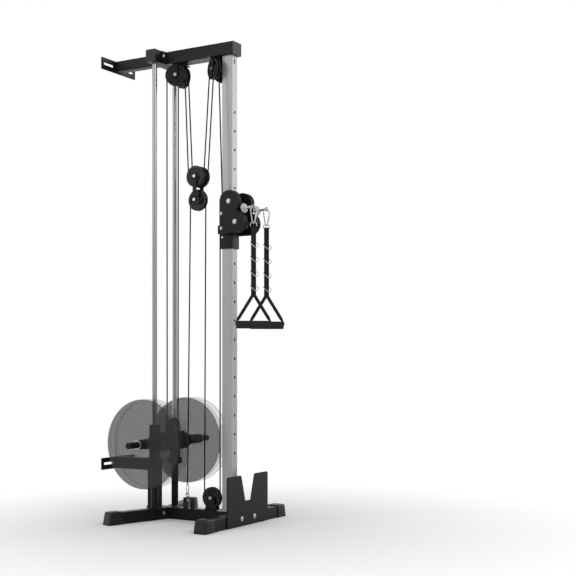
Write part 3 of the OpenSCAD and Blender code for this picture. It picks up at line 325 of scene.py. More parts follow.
LENGTHWAYS = (1, 1, 0.02)  # stretches the spots along z into streaks
black_paint = finish("powder paint", (0.0065, 0.0065, 0.007), 0.38, size=900, bump=0.05,
                     Specular_IOR_Level=0.16)
grey_steel = finish("brushed grey steel", (0.37, 0.37, 0.38), 0.36, 0.3, 0.07, 260, 0.01,
                    LENGTHWAYS)
chrome = finish("ground rod", (0.31, 0.315, 0.32), 0.30, 1.0, 0.04, 60, 0, LENGTHWAYS)
zinc = finish("zinc plating", (0.40, 0.405, 0.41), 0.32, 1.0, 0.10, 300, 0.01)
print("on steel:", [m.name for m in (black_paint, grey_steel, chrome, zinc)])

# %% [markdown]
# ## Plastics, rubber and foam
# Almost everything else on the machine is black, and only the shine tells one from another: the
# pulleys are glossy, the caps are satin and the foam is dull. So the colours are close together
# and the roughness differs. The plates are see-through in the photograph. Their faces towards the
# camera are denser than their backs and rims, which one alpha for the whole plate couldn't give.

# %% Plastics
nylon = finish("pulley nylon", (0.004, 0.004, 0.0045), 0.24, size=700, bump=0.01,
               Specular_IOR_Level=0.25)
seal = finish("bearing seal", (0.03, 0.03, 0.03), 0.55)
cap_black = finish("cap plastic", (0.008, 0.008, 0.009), 0.40, size=1500, bump=0.04,
                   Specular_IOR_Level=0.25)
slide_nylon = finish("slide plastic", (0.014, 0.014, 0.015), 0.40, Specular_IOR_Level=0.2)
rubber = finish("rubber", (0.010, 0.010, 0.010), 0.62, size=600, bump=0.05,
                Specular_IOR_Level=0.2)
sheath = finish("cable sheath", (0.004, 0.004, 0.0045), 0.45, size=300, bump=0.02,
                Specular_IOR_Level=0.08)
foam = finish("foam", (0.012, 0.012, 0.013), 0.70, 0, 0.25, 900, 0.4,
              Specular_IOR_Level=0.25)
DENSE, THIN, RIM = (finish("plate " + name, (0.028, 0.028, 0.03), 0.45, size=300, bump=0.03,
                           Specular_IOR_Level=0.3, Alpha=alpha)
                    for name, alpha in (("face", 0.78), ("back", 0.10), ("rim", 0.28)))
print("plates:", [m.name for m in (DENSE, THIN, RIM)])

# %% [markdown]
# ## Webbing
# The straps are woven, with threads about 1.1 mm wide that go over and under each other. Modelled
# threads would be many thousand faces. A checker in the strap's own lengths, used as a height,
# gives the same shading with none.

# %% Webbing
THREADS, THREAD_H = 900, 0.25  # checks a metre, and how high a thread stands in millimetres
webbing = finish("webbing", (0.010, 0.010, 0.011), 0.70, 0, 0.2, 500, 0, metres=True,
                 Specular_IOR_Level=0.2)
tree = webbing.node_tree
weave = tree.nodes.new("ShaderNodeTexChecker")
weave.inputs["Scale"].default_value = THREADS
relief = tree.nodes.new("ShaderNodeBump")
relief.inputs["Distance"].default_value = THREAD_H * MM
tree.links.new(tree.nodes["Mapping"].outputs[0], weave.inputs["Vector"])
tree.links.new(weave.outputs["Fac"], relief.inputs["Height"])
tree.links.new(relief.outputs[0], tree.nodes["Principled BSDF"].inputs["Normal"])
print(f"threads {1000 / THREADS:.1f} mm apart")

# %% [markdown]
# ## The frame
# The upright, beams, feet, brackets and hangers are welded and bolted steel. Their shape is all
# flat faces and tube corners, which the CAD model has exactly, so they keep its shape and only get
# their edges and paint.

# %% Steel parts
STEEL = {
    "frame": ["top_beam", "top_crossbar", "upper_wall_bracket", "lower_wall_bracket", "base_beam",
              "rear_legs", "front_foot", "foot_plate", "rod_standoffs", "rear_pulley_hanger",
              "front_pulley_hanger", "base_pulley_bracket"],
    "trolley": ["trolley_collar", "trolley_cheeks"],
    "block": ["block_cheeks"],
    "carriage": ["carriage_frame"],
}
for body, names in STEEL.items():
    for node in names:
        soften(node, black_paint, 0.7, body)
soften("upright", grey_steel, 0.6)
soften("end_caps", cap_black, 1.2)
soften("trolley_liners", slide_nylon, 0.4, "trolley")
soften("guide_bushings", slide_nylon, 0.4, "carriage")
for node, body in (("frame_fasteners", "frame"), ("block_axles", "block"),
                   ("trolley_bolts", "trolley"), ("carriage_fasteners", "carriage")):
    soften(node, zinc, 0.5, body)

# %% [markdown]
# ## Shoes on the feet
# Four thick plastic shoes sit on the ends of the feet and slope outwards to the floor. Each is a
# rounded rectangle carried along its tube: it starts inside the tube's wall, steps out as a lip
# and closes with a sloping end. A box with a Bevel modifier couldn't lean its end like that.

# %% Shoes
# (d, t): how far past the tube's end, and how much larger than the tube
SHOE = [(-62, -1), (-62, 3), (-60, 4.8), (-56, 5.5), (-4, 5.5), (1, 5), (3.5, 3.6), (4.6, 1)]
SHOE_H, SHOE_SLOPE = 60, 12
LEAN_FROM, LEAN_OVER = -22, 20  # where the sloping starts, and the length over which it grows
FOOT_RADII = [2, 2, 9, 9]


def shoe(end, along, wide):
    """Row (d, t): a rectangle t larger than the tube all round, d beyond the tube's end. Near the
    end, d grows towards the floor by SHOE_SLOPE * (1 - z / SHOE_H)."""
    rows = []
    for d, t in SHOE:
        half_w = wide / 2 + t
        flat = fillet([(-half_w, 0), (half_w, 0), (half_w, SHOE_H + t), (-half_w, SHOE_H + t)],
                      FOOT_RADII, True, 6)
        grow = np.clip((d - LEAN_FROM) / LEAN_OVER, 0, 1)
        lean = SHOE_SLOPE * grow * (1 - flat[:, 1] / SHOE_H)
        across = np.array((-along[1], along[0]))
        xy = np.array(end) + (d + lean)[:, None] * along + flat[:, :1] * across
        rows.append(np.column_stack([xy, flat[:, 1]]))
    return np.array(rows)


LEG = np.radians(16.5)  # the rear legs splay backwards
FRONT_END, FRONT_W = (354, -44), 60
REAR_END, REAR_W = (356, 511.7), 50
shoes = []
for s in (-1, 1):
    shoes.append(shoe((s * FRONT_END[0], FRONT_END[1]), np.array((s, 0)), FRONT_W))
    shoes.append(shoe((s * REAR_END[0], REAR_END[1]), np.array((s * np.cos(LEG), np.sin(LEG))),
                      REAR_W))
piece("foot_shoes", shoes, [cap_black], ("end_caps",), "frame")
print("shoes:", len(shoes), "reaching x =", round(max(g[..., 0].max() for g in shoes), 1), "mm")

# %% [markdown]
# ## Guide rods and bumpers
# The rods are ground bar with a small chamfer at each end. The bumpers are rubber rings with
# rounded rims and a groove at mid height, where they bulge when the carriage lands. Cylinders
# would do from far away, but the chamfer and the groove are what catches the light.

# %% Rods
ROD_X, ROD_Y, ROD_R = 87, 432, 12.5
ROD_FROM, ROD_TO, CHAMFER = 3, 2394, 1
rod = lathe([(ROD_R - CHAMFER, ROD_FROM), (ROD_R, ROD_FROM + CHAMFER), (ROD_R, ROD_TO - CHAMFER),
             (ROD_R - CHAMFER, ROD_TO)], 48)
piece("guide_rod_pair", [rod + (s * ROD_X, ROD_Y, 0) for s in (-1, 1)], [chrome], ("guide_rods",),
      "frame")
print("rods of", 2 * ROD_R, "by", ROD_TO - ROD_FROM, "mm")

# %% Bumpers
BUMPER_IN, BUMPER_OUT, BUMPER_Z, BUMPER_H, GROOVE = 12.7, 38, 276, 32, (1.5, 2)
groove_z = BUMPER_Z + BUMPER_H / 2
bumper = fillet([(BUMPER_IN, BUMPER_Z), (BUMPER_OUT, BUMPER_Z), (BUMPER_OUT, groove_z - GROOVE[1]),
                 (BUMPER_OUT - GROOVE[0], groove_z), (BUMPER_OUT, groove_z + GROOVE[1]),
                 (BUMPER_OUT, BUMPER_Z + BUMPER_H), (BUMPER_IN, BUMPER_Z + BUMPER_H)],
                [0.5, 4, 1, 1, 1, 4, 0.5], True)
piece("bumper_pair", [(lathe(bumper) + (s * ROD_X, ROD_Y, 0), True, 0) for s in (-1, 1)],
      [rubber], ("rubber_bumpers",), "frame")
print("bumpers", BUMPER_H, "mm high")

# %% [markdown]
# ## Pulleys
# A pulley is a nylon wheel with a deep round groove, a recessed web and a sealed ball bearing in
# its hub. One profile serves all thirteen, turned about each axle. Cutting grooves out of
# cylinders would give the same form, with worse faces.

# %% Wheel, race and seal
# (r, h) from the hub outwards and down into the groove; the mirror image closes each profile
WHEEL = [(13, 9), (19.5, 9), (22, 6), (25, 6), (26, 7), (28, 7), (29, 6), (37, 6), (41.2, 10),
         (54, 10), (54, 8.2), (48.5, 3.9), (44.4, 2.6)]
RACE = [(5.1, 6), (7.2, 6), (7.6, 5.2), (10.4, 5.2), (10.8, 6), (12.9, 6)]
LID = [(7.5, 5.6), (10.5, 5.6)]
wheel = lathe(fillet(mirrored(WHEEL), 0.9, True, 4), 96)
race = lathe(fillet(mirrored(RACE), 0.25, True, 3), 48)
lid = lathe(fillet(mirrored(LID), 0.2, True, 3), 48)
print("wheel", 2 * WHEEL[9][0], "mm across, groove floor at", WHEEL[-1][0], "mm")

# %% [markdown]
# ## Where the pulleys sit
# The two pulleys at the top of each side are turned a little, so that the cable leaves them in
# line with the next pulley. Their axles lie level, at the toe angles of the CAD model.

# %% Axles
FRONT_TOE, REAR_TOE = np.radians(27.1), np.radians(20.9)
TOP_Z = 2274
FRONT_X, FRONT_Y = 39, 97
REAR_X, REAR_Y = 32.5, 338
BLOCK_X, BLOCK_Y, BLOCK_Z, BLOCK_LOW = 18, 222, 1749, 1630
WING_X = 60.5  # pulleys on the trolley, and the handles under them
UPPER, LOWER = (-14, 1600), (-50, 1497)
BASE = (0, 135, 122)
CARRIAGE_WHEEL = (0, 382.14, 465)
ACROSS = (1, 0, 0)
AXLES = {}
for side, s in (("near", -1), ("far", 1)):
    AXLES[side + "_front_top_pulley"] = (side + "_front_top_wheel",
                                         [(s * FRONT_X, FRONT_Y, TOP_Z)],
                                         (np.cos(FRONT_TOE), s * np.sin(FRONT_TOE), 0))
    AXLES[side + "_rear_top_pulley"] = (side + "_rear_top_wheel", [(s * REAR_X, REAR_Y, TOP_Z)],
                                        (np.cos(REAR_TOE), -s * np.sin(REAR_TOE), 0))
AXLES["base_pulley"] = ("base_wheel", [BASE], ACROSS)
AXLES["block_upper_pulleys"] = ("block_upper_wheels",
                                [(x, BLOCK_Y, BLOCK_Z) for x in (-BLOCK_X, BLOCK_X)], ACROSS)
AXLES["block_lower_pulley"] = ("block_lower_wheel", [(0, BLOCK_Y, BLOCK_LOW)], ACROSS)
AXLES["trolley_upper_pulleys"] = ("trolley_upper_wheels",
                                  [(x, *UPPER) for x in (-WING_X, WING_X)], ACROSS)
AXLES["trolley_lower_pulleys"] = ("trolley_lower_wheels",
                                  [(x, *LOWER) for x in (-WING_X, WING_X)], ACROSS)
AXLES["carriage_pulley"] = ("carriage_wheel", [CARRIAGE_WHEEL], (0, 1, 0))
for node, (body, centres, axis) in AXLES.items():
    parts = [(place(g, c, axis, (0, 0, 1)), True, k) for c in centres
             for k, g in enumerate((wheel, race, lid))]
    piece(node + "_wheel", parts, [nylon, zinc, seal], (node,), body)
print("pulleys:", sum(len(a[1]) for a in AXLES.values()))

# %% [markdown]
# ## Cables
# Between pulleys a taut cable is a straight bar, and on a pulley it is an arc. A straight strand
# whose ends lie on two different bodies has a mesh with only two end rings; here it rides on no
# body, while each arc rides on the body of its pulley.

# %% Strands and wraps
CABLE_R, PITCH_R = 3.4, 47.25  # the cable itself, and its centre line on a pulley
UP = np.array((0, 0, 1.0))
OFF_LINE = (1, 0.02, 0)  # along no strand, so that each has a side


def strand(name, a, b, nodes):
    """Straight bar from point a on the first body to point b on the second."""
    path = np.array((a, b), float)
    obj = piece(name, [sweep(path, circle(CABLE_R), OFF_LINE)], [sheath], nodes, None)
    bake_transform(obj)
    return obj


def arc(centre, out, a0, a1, k=40):
    """Points at angle a from direction `out` towards the top, PITCH_R away from the centre."""
    a = np.radians(np.linspace(a0, a1, k))[:, None]
    return np.array(centre) + PITCH_R * (np.cos(a) * np.array(out, float) + np.sin(a) * UP)


def wrap(centre, out, a0, a1):
    """Cable on a pulley whose groove runs in the plane of `out` and the vertical."""
    return sweep(arc(centre, out, a0, a1), circle(CABLE_R), np.cross(out, UP))


print("half a turn on a pulley is", round(np.pi * PITCH_R), "mm of cable")

# %% [markdown]
# ## The main cable
# From each handle it goes over the trolley's upper pulley, up to the front of the top beam, down
# round the travelling block, up again to the rear pulley and down to the carriage, where both
# sides meet. One long tube would tear as the machine moves, so each run is a strand of its own.

# %% Main cable
HANDLE_ARC = (264, 360)  # on the trolley's pulley, from the handle's side to the rear
wraps = {"frame": [], "block": [], "trolley": [], "carriage": []}
for side, s in (("near", -1), ("far", 1)):
    front, rear = np.array((s * FRONT_X, FRONT_Y, TOP_Z)), np.array((s * REAR_X, REAR_Y, TOP_Z))
    in_front = np.array((-s * np.sin(FRONT_TOE), np.cos(FRONT_TOE), 0))
    in_rear = np.array((s * np.sin(REAR_TOE), np.cos(REAR_TOE), 0))
    wraps["frame"] += [wrap(front, in_front, 0, 180), wrap(rear, in_rear, 0, 180)]
    wraps["block"].append(wrap((s * BLOCK_X, BLOCK_Y, BLOCK_Z), (0, 1, 0), 180, 360))
    wraps["trolley"].append(wrap((s * WING_X, *UPPER), (0, 1, 0), *HANDLE_ARC))
    strand(side + "_trolley_strand", front - PITCH_R * in_front,
           (s * WING_X, UPPER[0] + PITCH_R, UPPER[1]),
           ("cable_trolley_strands",))
    strand(side + "_front_block_strand", front + PITCH_R * in_front,
           (s * BLOCK_X, BLOCK_Y - PITCH_R, BLOCK_Z),
           ("cable_block_strands",))
    strand(side + "_rear_block_strand", rear - PITCH_R * in_rear,
           (s * BLOCK_X, BLOCK_Y + PITCH_R, BLOCK_Z),
           ("cable_block_strands",))
    strand(side + "_carriage_strand", rear + PITCH_R * in_rear,
           (s * PITCH_R, *CARRIAGE_WHEEL[1:]),
           ("cable_carriage_strands",))
wraps["carriage"].append(wrap(CARRIAGE_WHEEL, (1, 0, 0), 180, 360))
print("grooves with the main cable:", sum(len(p) for p in wraps.values()))

# %% [markdown]
# ## The lower cable
# It starts at a hook on the base beam, runs up over the block's lower pulley, down round the base
# pulley and up to the trolley. It is what keeps the block in step with the trolley. It is made in
# the same way, with short fixed ends at the floor, which belong to the frame's wrap, and the long
# runs as strands.

# %% Lower cable
FOOT_Z = 192  # height where the strands that change length begin
ANCHOR_Y, LUG_Z = 288, 1450
wraps["block"].append(wrap((0, BLOCK_Y, BLOCK_LOW), (0, 1, 0), 0, 180))
under = arc(BASE, (0, 1, 0), 180, 360)
ends = np.array([(0, BASE[1] + s * PITCH_R, FOOT_Z) for s in (-1, 1)])
wraps["frame"].append(sweep(np.concatenate([ends[:1], under, ends[1:]]), circle(CABLE_R), ACROSS))
strand("anchor_strand", (0, ANCHOR_Y, FOOT_Z), (0, BLOCK_Y + PITCH_R, BLOCK_LOW),
       ("cable_lower_block_strands",))
strand("base_strand", ends[1], (0, BLOCK_Y - PITCH_R, BLOCK_LOW),
       ("cable_lower_block_strands",))
strand("lug_strand", ends[0], (0, BASE[1] - PITCH_R, LUG_Z),
       ("cable_lower_trolley_strand",))
WRAP_NODES = {"frame": "cable_frame_wraps", "block": "block_cable_wraps",
              "trolley": "trolley_cable_wraps", "carriage": "carriage_cable_wrap"}
for body, node in WRAP_NODES.items():
    piece(node + "_cord", wraps[body], [sheath], (node,), body)
print("wraps:", {b: len(p) for b, p in wraps.items()})

# %% [markdown]
# ## The selector pin
# The user pulls a fluted knob against a spring, and the pin leaves the hole of the upright. It is
# shown pulled, as while the trolley is moved. The flutes are a ripple in the lathe's radius:
# twelve cuts with a Boolean would make the same grips with far more faces.

# %% Selector
PIN_Z = 1486
FORWARD = (0, -1, 0)
FLUTES, FLUTE_SHARE = 12, 0.03
rod = lathe([(4.5, 6), (5.9, 7.5), (5.9, 63), (5.5, 63.5)], 32)
collar = lathe(fillet([(5.9, 23), (9, 23), (9, 25), (5.9, 25)], 0.3, True, 3), 32)
profile = fillet([(3, 51.3), (10, 51.3), (10, 59), (14.5, 65), (17, 67.5), (17, 72.5),
                  (14, 75.3), (3, 75.3)], [0, 1, 3, 3, 2, 2, 2, 0], False, 6)
knob = lathe(profile, 96, FLUTE_SHARE, FLUTES)
parts = [place(g, (0, 0, PIN_Z), FORWARD) for g in (rod, collar, knob)]
piece("selector", [(parts[0], False, 0), (parts[1], True, 0), (parts[2], False, 1)],
      [zinc, cap_black], ("selector_pin",), "selector")
print("knob", round(2 * profile[:, 0].max(), 1), "mm across with", FLUTES, "flutes")

# %% [markdown]
# ## The spring in the barrel
# The spring is a real coil here, nearly closed, with its ends at the pin and at the barrel. It is
# built once at its pressed length and rides on no body. A Screw modifier would make the coil too.

# %% Spring
COIL_R, COIL_WIRE, COIL_TURNS = 7.3, 0.6, 4
COIL_FROM, COIL_L = 25.9, 5.4
t = np.linspace(0, 1, 240)
turns = 2 * np.pi * COIL_TURNS * t
coil = np.stack([COIL_R * np.cos(turns), COIL_R * np.sin(turns), COIL_FROM + COIL_L * t], -1)
coil = place(coil, (0, 0, PIN_Z), FORWARD)
spring = piece("selector_coil", [sweep(coil, circle(COIL_WIRE, 8), FORWARD)], [zinc],
               ("selector_spring",), None)
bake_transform(spring)
print("spring pressed to", COIL_L, "mm in", COIL_TURNS, "turns")

# %% [markdown]
# ## Sleeves on the pegs
# Plastic sleeves make the pegs fit wide plate bores, and a bright ring closes each sleeve. Both
# are turned profiles, because their wall and their rounded mouth show at the end of the peg.

# %% Sleeves
PEG = np.array((0, 403, 395))
STOP_X, SLEEVE_L, SLEEVE_IN, SLEEVE_OUT, RING_L = 133, 137, 15.3, 24.7, 4
sleeve = lathe(fillet([(SLEEVE_IN, 0), (SLEEVE_OUT, 0), (SLEEVE_OUT, SLEEVE_L - RING_L),
                       (24, SLEEVE_L - RING_L), (24, SLEEVE_L - 0.2),
                       (SLEEVE_IN, SLEEVE_L - 0.2)], 0.6, True, 3))
bright = lathe(fillet([(15.6, SLEEVE_L - RING_L), (SLEEVE_OUT, SLEEVE_L - RING_L),
                       (SLEEVE_OUT, SLEEVE_L), (15.6, SLEEVE_L)], 0.9, True, 4))
print("sleeve", 2 * SLEEVE_OUT, "mm across and", SLEEVE_L, "mm long")

# %% [markdown]
# ## Weight plates
# The plates are rubber with a raised rim, a sunk face, a hub and a steel bushing. The photograph
# shows them partly see-through, so their rubber is see-through too. The material of each face
# follows from its direction: near faces are dense, the others are thin.

# %% Plates
DISC_T, DISC_R, DISC_GAP = 46.5, 225, 0.5
DISC = [(25.4, 0), (50, 0), (55, 4), (110, 4), (111, 3.2), (113, 3.2), (114, 4),
        (DISC_R - 35, 4), (DISC_R - 28, 0), (DISC_R - 5, 0), (DISC_R, 4.5)]
disc = lathe(fillet(mirrored(DISC, DISC_T), 2.2, True, 5), 144)
FACING = 0.5  # a face looks sideways when its normal's x is past this
sleeves = []
for side, s in (("near", -1), ("far", 1)):
    out = (s, 0, 0)
    sleeves += [(place(g, PEG + (s * STOP_X, 0, 0), out), True, k)
                for k, g in enumerate((sleeve, bright))]
    for i in range(2):
        at = PEG + (s * (STOP_X + 1 + i * (DISC_T + DISC_GAP)), 0, 0)
        plate = piece(f"{side}_plate_{i + 1}", [(place(disc, at, out), True, 0)],
                      [RIM, THIN if i == (s > 0) else DENSE, THIN], (side + "_plates",),
                      side + "_weights")
        normals = np.empty(3 * len(plate.data.polygons))
        plate.data.polygons.foreach_get("normal", normals)
        faces_x = normals[::3]
        numbers = np.where(faces_x < -FACING, 1, 2 * (faces_x > FACING))
        plate.data.polygons.foreach_set("material_index", numbers)
piece("peg_sleeves", sleeves, [slide_nylon, chrome], ("peg_adapters",), "carriage")
print("plates", 2 * DISC_R, "mm across and", DISC_T, "mm thick")

# %% [markdown]
# ## Carabiners and rings
# A carabiner is one bent wire with a wide and a narrow end, closed by a spring gate. The wire is a
# circle carried along two arcs and two straight sides, and the gate is a barrel turned about one
# side. A Curve object could be bent by hand, but the two arcs and their tangents are exact here.

# %% Wire shapes
CLIP_TOP, CLIP_FOOT, CLIP_DROP, CLIP_R = 20, 9, 52, 3
GATE_AT = 0.12  # where the gate starts, as a share of the straight side


def clip(origin, across, scale=1.0):
    """Carabiner in the plane of `across` and the vertical, centre of its wide end at origin. The
    sides are tangent to both arcs, so they lean by arcsin of (difference of radii / drop)."""
    lean = np.arcsin((CLIP_TOP - CLIP_FOOT) / CLIP_DROP)
    a = np.linspace(-lean, np.pi + lean, 40)
    b = np.linspace(np.pi + lean, 2 * np.pi - lean, 24)
    top = CLIP_TOP * np.stack([np.cos(a), np.sin(a)], -1)
    foot = CLIP_FOOT * np.stack([np.cos(b), np.sin(b)], -1) - (0, CLIP_DROP)
    flat = np.concatenate([top, foot])
    down = np.array((-np.sin(lean), -np.cos(lean)))
    side = CLIP_DROP * np.cos(lean)
    hinge = [(CLIP_R - 0.4, 0), (4.4, 0.6), (4.4, 3), (3.4, 3.6), (3.4, 5), (4.3, 6),
             (4.3, 0.45 * side), (3.6, 0.5 * side), (3.6, 0.62 * side), (4.4, 0.65 * side),
             (4.4, 0.7 * side), (CLIP_R - 0.4, 0.72 * side)]
    gate = lathe(fillet(hinge, 0.3, False, 3), 24)
    across, normal = unit(across), unit(np.cross(across, UP))

    def stand(p):
        return np.asarray(origin) + scale * (p[..., :1] * across + p[..., 1:] * UP)

    wire = sweep(stand(flat), circle(CLIP_R * scale, 14), normal, True)
    start = top[0] + down * GATE_AT * side
    axis = down[0] * across + down[1] * UP
    return [(wire, True, 0), (place(gate * scale, stand(start), axis, normal), False, 0)]


def loop(flat, across, origin, wire):
    """Closed wire through 2-D points in the plane of `across` and the vertical."""
    across = unit(across)
    path = np.asarray(origin) + flat[:, :1] * across + flat[:, 1:] * UP
    return sweep(path, circle(wire, 12), np.cross(across, UP), True), True, 0


print("carabiner", CLIP_TOP + CLIP_DROP + CLIP_FOOT + 2 * CLIP_R, "mm long")

# %% [markdown]
# ## The hook at the base
# An eye bolt with a nut stands on the base beam. A small carabiner hooks into its eye, and the
# cable ends in a pressed sleeve. The nut is a lathe with only six columns, which is a hexagon.

# %% Anchor
EYE_Z, EYE_R, EYE_WIRE = 126, 9, 3
ANCHOR = (0, ANCHOR_Y, 114)
lug = lathe(fillet([(2, -22), (4, -22), (4, 0), (6, 0), (6, 3), (2, 3)], 0.4, False, 3), 32)
nut = lathe(fillet([(4, -14), (7.6, -14), (7.6, -6), (4, -6)], 0.5, True, 3), 6)
press = lathe(fillet([(2.8, 174.5), (4.95, 174.5), (4.95, 180), (4.5, 181), (4.95, 182),
                      (4.95, 186), (4.5, 187), (4.95, 188), (4.95, 192), (2.8, 192)], 0.4,
                     True, 3), 32)
anchor = clip((0, ANCHOR_Y, 166.5), (1, 0, 0), 0.6)
anchor += [loop(circle(EYE_R, 40), (0, 1, 0), (0, ANCHOR_Y, EYE_Z), EYE_WIRE),
           (lug + ANCHOR, False, 0), (nut + ANCHOR, True, 0), (press + (0, ANCHOR_Y, 0), True, 0)]
piece("anchor_hook", anchor, [zinc], ("anchor_carabiner",), "frame")
print("anchor parts:", len(anchor))

# %% [markdown]
# ## How a handle hangs
# The cable leaves the trolley six degrees upwards and ends in a bright stop. The handle hangs
# under it, turned about the vertical. Everything on it is drawn in three numbers, across, out of
# its face and up, so that both handles come from the same shapes.

# %% Directions and heights
TILT = np.radians(6)
PULL = np.array((0, -np.cos(TILT), np.sin(TILT)))
YAW, CLIP_YAW = np.radians(-56), np.radians(-13)
TURN = np.array((np.cos(YAW), np.sin(YAW), 0))
FACE = np.array((-np.sin(YAW), np.cos(YAW), 0))
CLIP_TURN = np.array((np.cos(CLIP_YAW), np.sin(CLIP_YAW), 0))
HANG_Y = -149
EXIT_Z, RING_Z, CLIP_Z, BUCKLE_Z = 1552.49, 1566.68, 1544.48, 1470.78
STRAP_END, GRIP_TOP, GRIP_Z = 1134.78, 1008.78, 989.78


def hang(p, s):
    """Points (across, out of the face, up) of a handle in the machine's frame."""
    p = np.asarray(p, float)
    foot = np.array((s * WING_X, HANG_Y, 0))
    return foot + p[..., :1] * TURN + p[..., 1:2] * FACE + p[..., 2:] * UP


print("from ring to grip:", round(RING_Z - GRIP_Z), "mm")

# %% [markdown]
# ## The cable's stop
# A turned metal stop is pressed on each end of the cable. It is wide towards the pulley, so that
# it can't slip through, and has a waist and a thin neck with the ring. It is one turned profile.

# %% Cable stop
STOP_AT, TIP_AT = 76.42, 129.0  # along the cable, from where it leaves the pulley
stop = fillet([(2.9, 0), (24.5, 0), (24.5, 5), (20.5, 12), (9, 16), (6.5, 20),
               (6.5, TIP_AT - STOP_AT - 8), (5, TIP_AT - STOP_AT), (2.9, TIP_AT - STOP_AT)],
              [0.5, 1.5, 1.5, 2, 3, 3, 1, 1, 0.5], True, 5)
print("stop", round(TIP_AT - STOP_AT, 1), "mm long")

# %% [markdown]
# ## The long strap
# The strap is one flat band that goes down from the buckle twice: it is folded over the buckle's
# upper bar, and both halves are sewn together. A thin rectangle is carried along that path, which
# is a strip of real thickness with real ends. A plane with Solidify would fold less neatly.

# %% Strap
WEB_W, WEB_T = 25.0, 2.0
BAR_R = 3.35  # the fold's centre line round the buckle's bar
HALF_GAP, NECK = 1.02, -14  # half the distance of both layers, and where they meet under the bar
cloth = fillet([(-WEB_W / 2, -WEB_T / 2), (WEB_W / 2, -WEB_T / 2), (WEB_W / 2, WEB_T / 2),
                (-WEB_W / 2, WEB_T / 2)], 0.8, True, 4)
over = np.radians(np.linspace(-50, 230, 28))
bend = BAR_R * np.stack([np.cos(over), np.sin(over)], -1)
belt = np.concatenate([[(HALF_GAP, STRAP_END - BUCKLE_Z), (HALF_GAP, NECK)], bend,
                       [(-HALF_GAP, NECK), (-HALF_GAP, STRAP_END - BUCKLE_Z)]])
belt = dense(fillet(belt, [0, 20] + [0] * len(bend) + [20, 0], False, 8))
print("strap band:", round(np.linalg.norm(np.diff(belt, axis=0), axis=1).sum()), "mm long")

# %% [markdown]
# ## D-rings and buckle
# Four wire rings are sewn to the strap, to hook the handle shorter. Each is wide at its round end
# and stands off the strap, turned and tilted. The buckle is a wire trapezium. All are outlines
# with rounded corners, along which a small circle is carried.

# %% Rings
TILT_D, LEAN_D, WIRE_D, HALF_D = np.radians(32), np.radians(60), 1.8, 13.0
BAR_X, BOW_X, BAR_D = -15.5, 13.2, 6.0  # the sewn bar, the bow's centre, half the bar's length
bow = np.radians(np.linspace(90, -90, 20))
outline = np.concatenate([[(BAR_X, -BAR_D), (BAR_X, BAR_D)],
                          np.stack([BOW_X + HALF_D * np.cos(bow), HALF_D * np.sin(bow)], -1)])
outline = fillet(outline, [3, 3] + [0] * len(bow), True, 5)
x, y, z = outline[:, 0], -outline[:, 1] * np.cos(LEAN_D), -outline[:, 1] * np.sin(LEAN_D)
d_ring = np.stack([x * np.cos(TILT_D) + z * np.sin(TILT_D), y,
                   z * np.cos(TILT_D) - x * np.sin(TILT_D)], -1)
d_normal = np.cross(d_ring[1] - d_ring[0], d_ring[8] - d_ring[1])
FIRST_D, NEXT_D, RING_COUNT = 86, 70.5, 4  # below the buckle, and from ring to ring
buckle = fillet([(-16.5, 0), (16.5, 0), (12.5, 18), (-12.5, 18)], 3.5, True, 6)
print("D-rings reach", round(np.ptp(outline[:, 0]) + 2 * WIRE_D, 1), "mm")

# %% [markdown]
# ## Triangle of webbing
# The path goes down one leg, round the grip's end, through its bore and up the other leg. The
# section changes along it, from a folded band 16 mm wide on the legs to a flat band in the bore.
# One band with a changing section has no joints where the parts of a triangle would meet.

# %% Triangle
LEG_W, LEG_D, HALF = 16.0, 8.0, 90.0  # a leg's width and depth, and half the grip's length
BORE_W, BORE_D = 3.6, 18  # the band's section inside the grip
APEX = 9.5  # half the triangle's width at the strap
lean = np.arctan((HALF - APEX) / (STRAP_END - GRIP_TOP))
mid = LEG_W / 2 / np.cos(lean)
corner = HALF - 2.2
leg = [(APEX - mid, STRAP_END + 5), (HALF - 6 - mid, GRIP_TOP + 9), (corner, GRIP_TOP - 10),
       (corner, GRIP_Z), (0, GRIP_Z)]
path = dense(fillet(leg + [(-x, z) for x, z in leg[-2::-1]], [0, 20, 14, 3, 0, 3, 14, 20, 0],
                    False, 10), 2.0)
height = np.clip((path[:, 1] - GRIP_TOP + 6) / 18, 0, 1)[:, None, None]
band = fillet([(-0.5, -0.5), (0.5, -0.5), (0.5, 0.5), (-0.5, 0.5)], 0.2, True, 4)
wide, deep = BORE_W + (LEG_W - BORE_W) * height, BORE_D + (LEG_D - BORE_D) * height
band = band[None] * np.concatenate([wide, deep], 2)
triangle = np.stack([path[:, 0], 0 * path[:, 0], path[:, 1]], -1)
print("triangle band:", round(np.linalg.norm(np.diff(path, axis=0), axis=1).sum()), "mm long")

# %% [markdown]
# ## Foam grip
# A foam tube turns loosely on the webbing. It is a shade thicker in the middle and rounded at its
# ends, as foam is that has been squeezed and cut. It is turned like the pulleys.

# %% Grip profile
grip_profile = fillet([(12.6, -85), (16.5, -85.4), (19, -80), (19.3, 0), (19, 80), (16.5, 85.4),
                       (12.6, 85)], [1, 3, 8, 300, 8, 3, 1], True, 8)
print("grip", round(2 * grip_profile[:, 0].max(), 1), "mm thick")
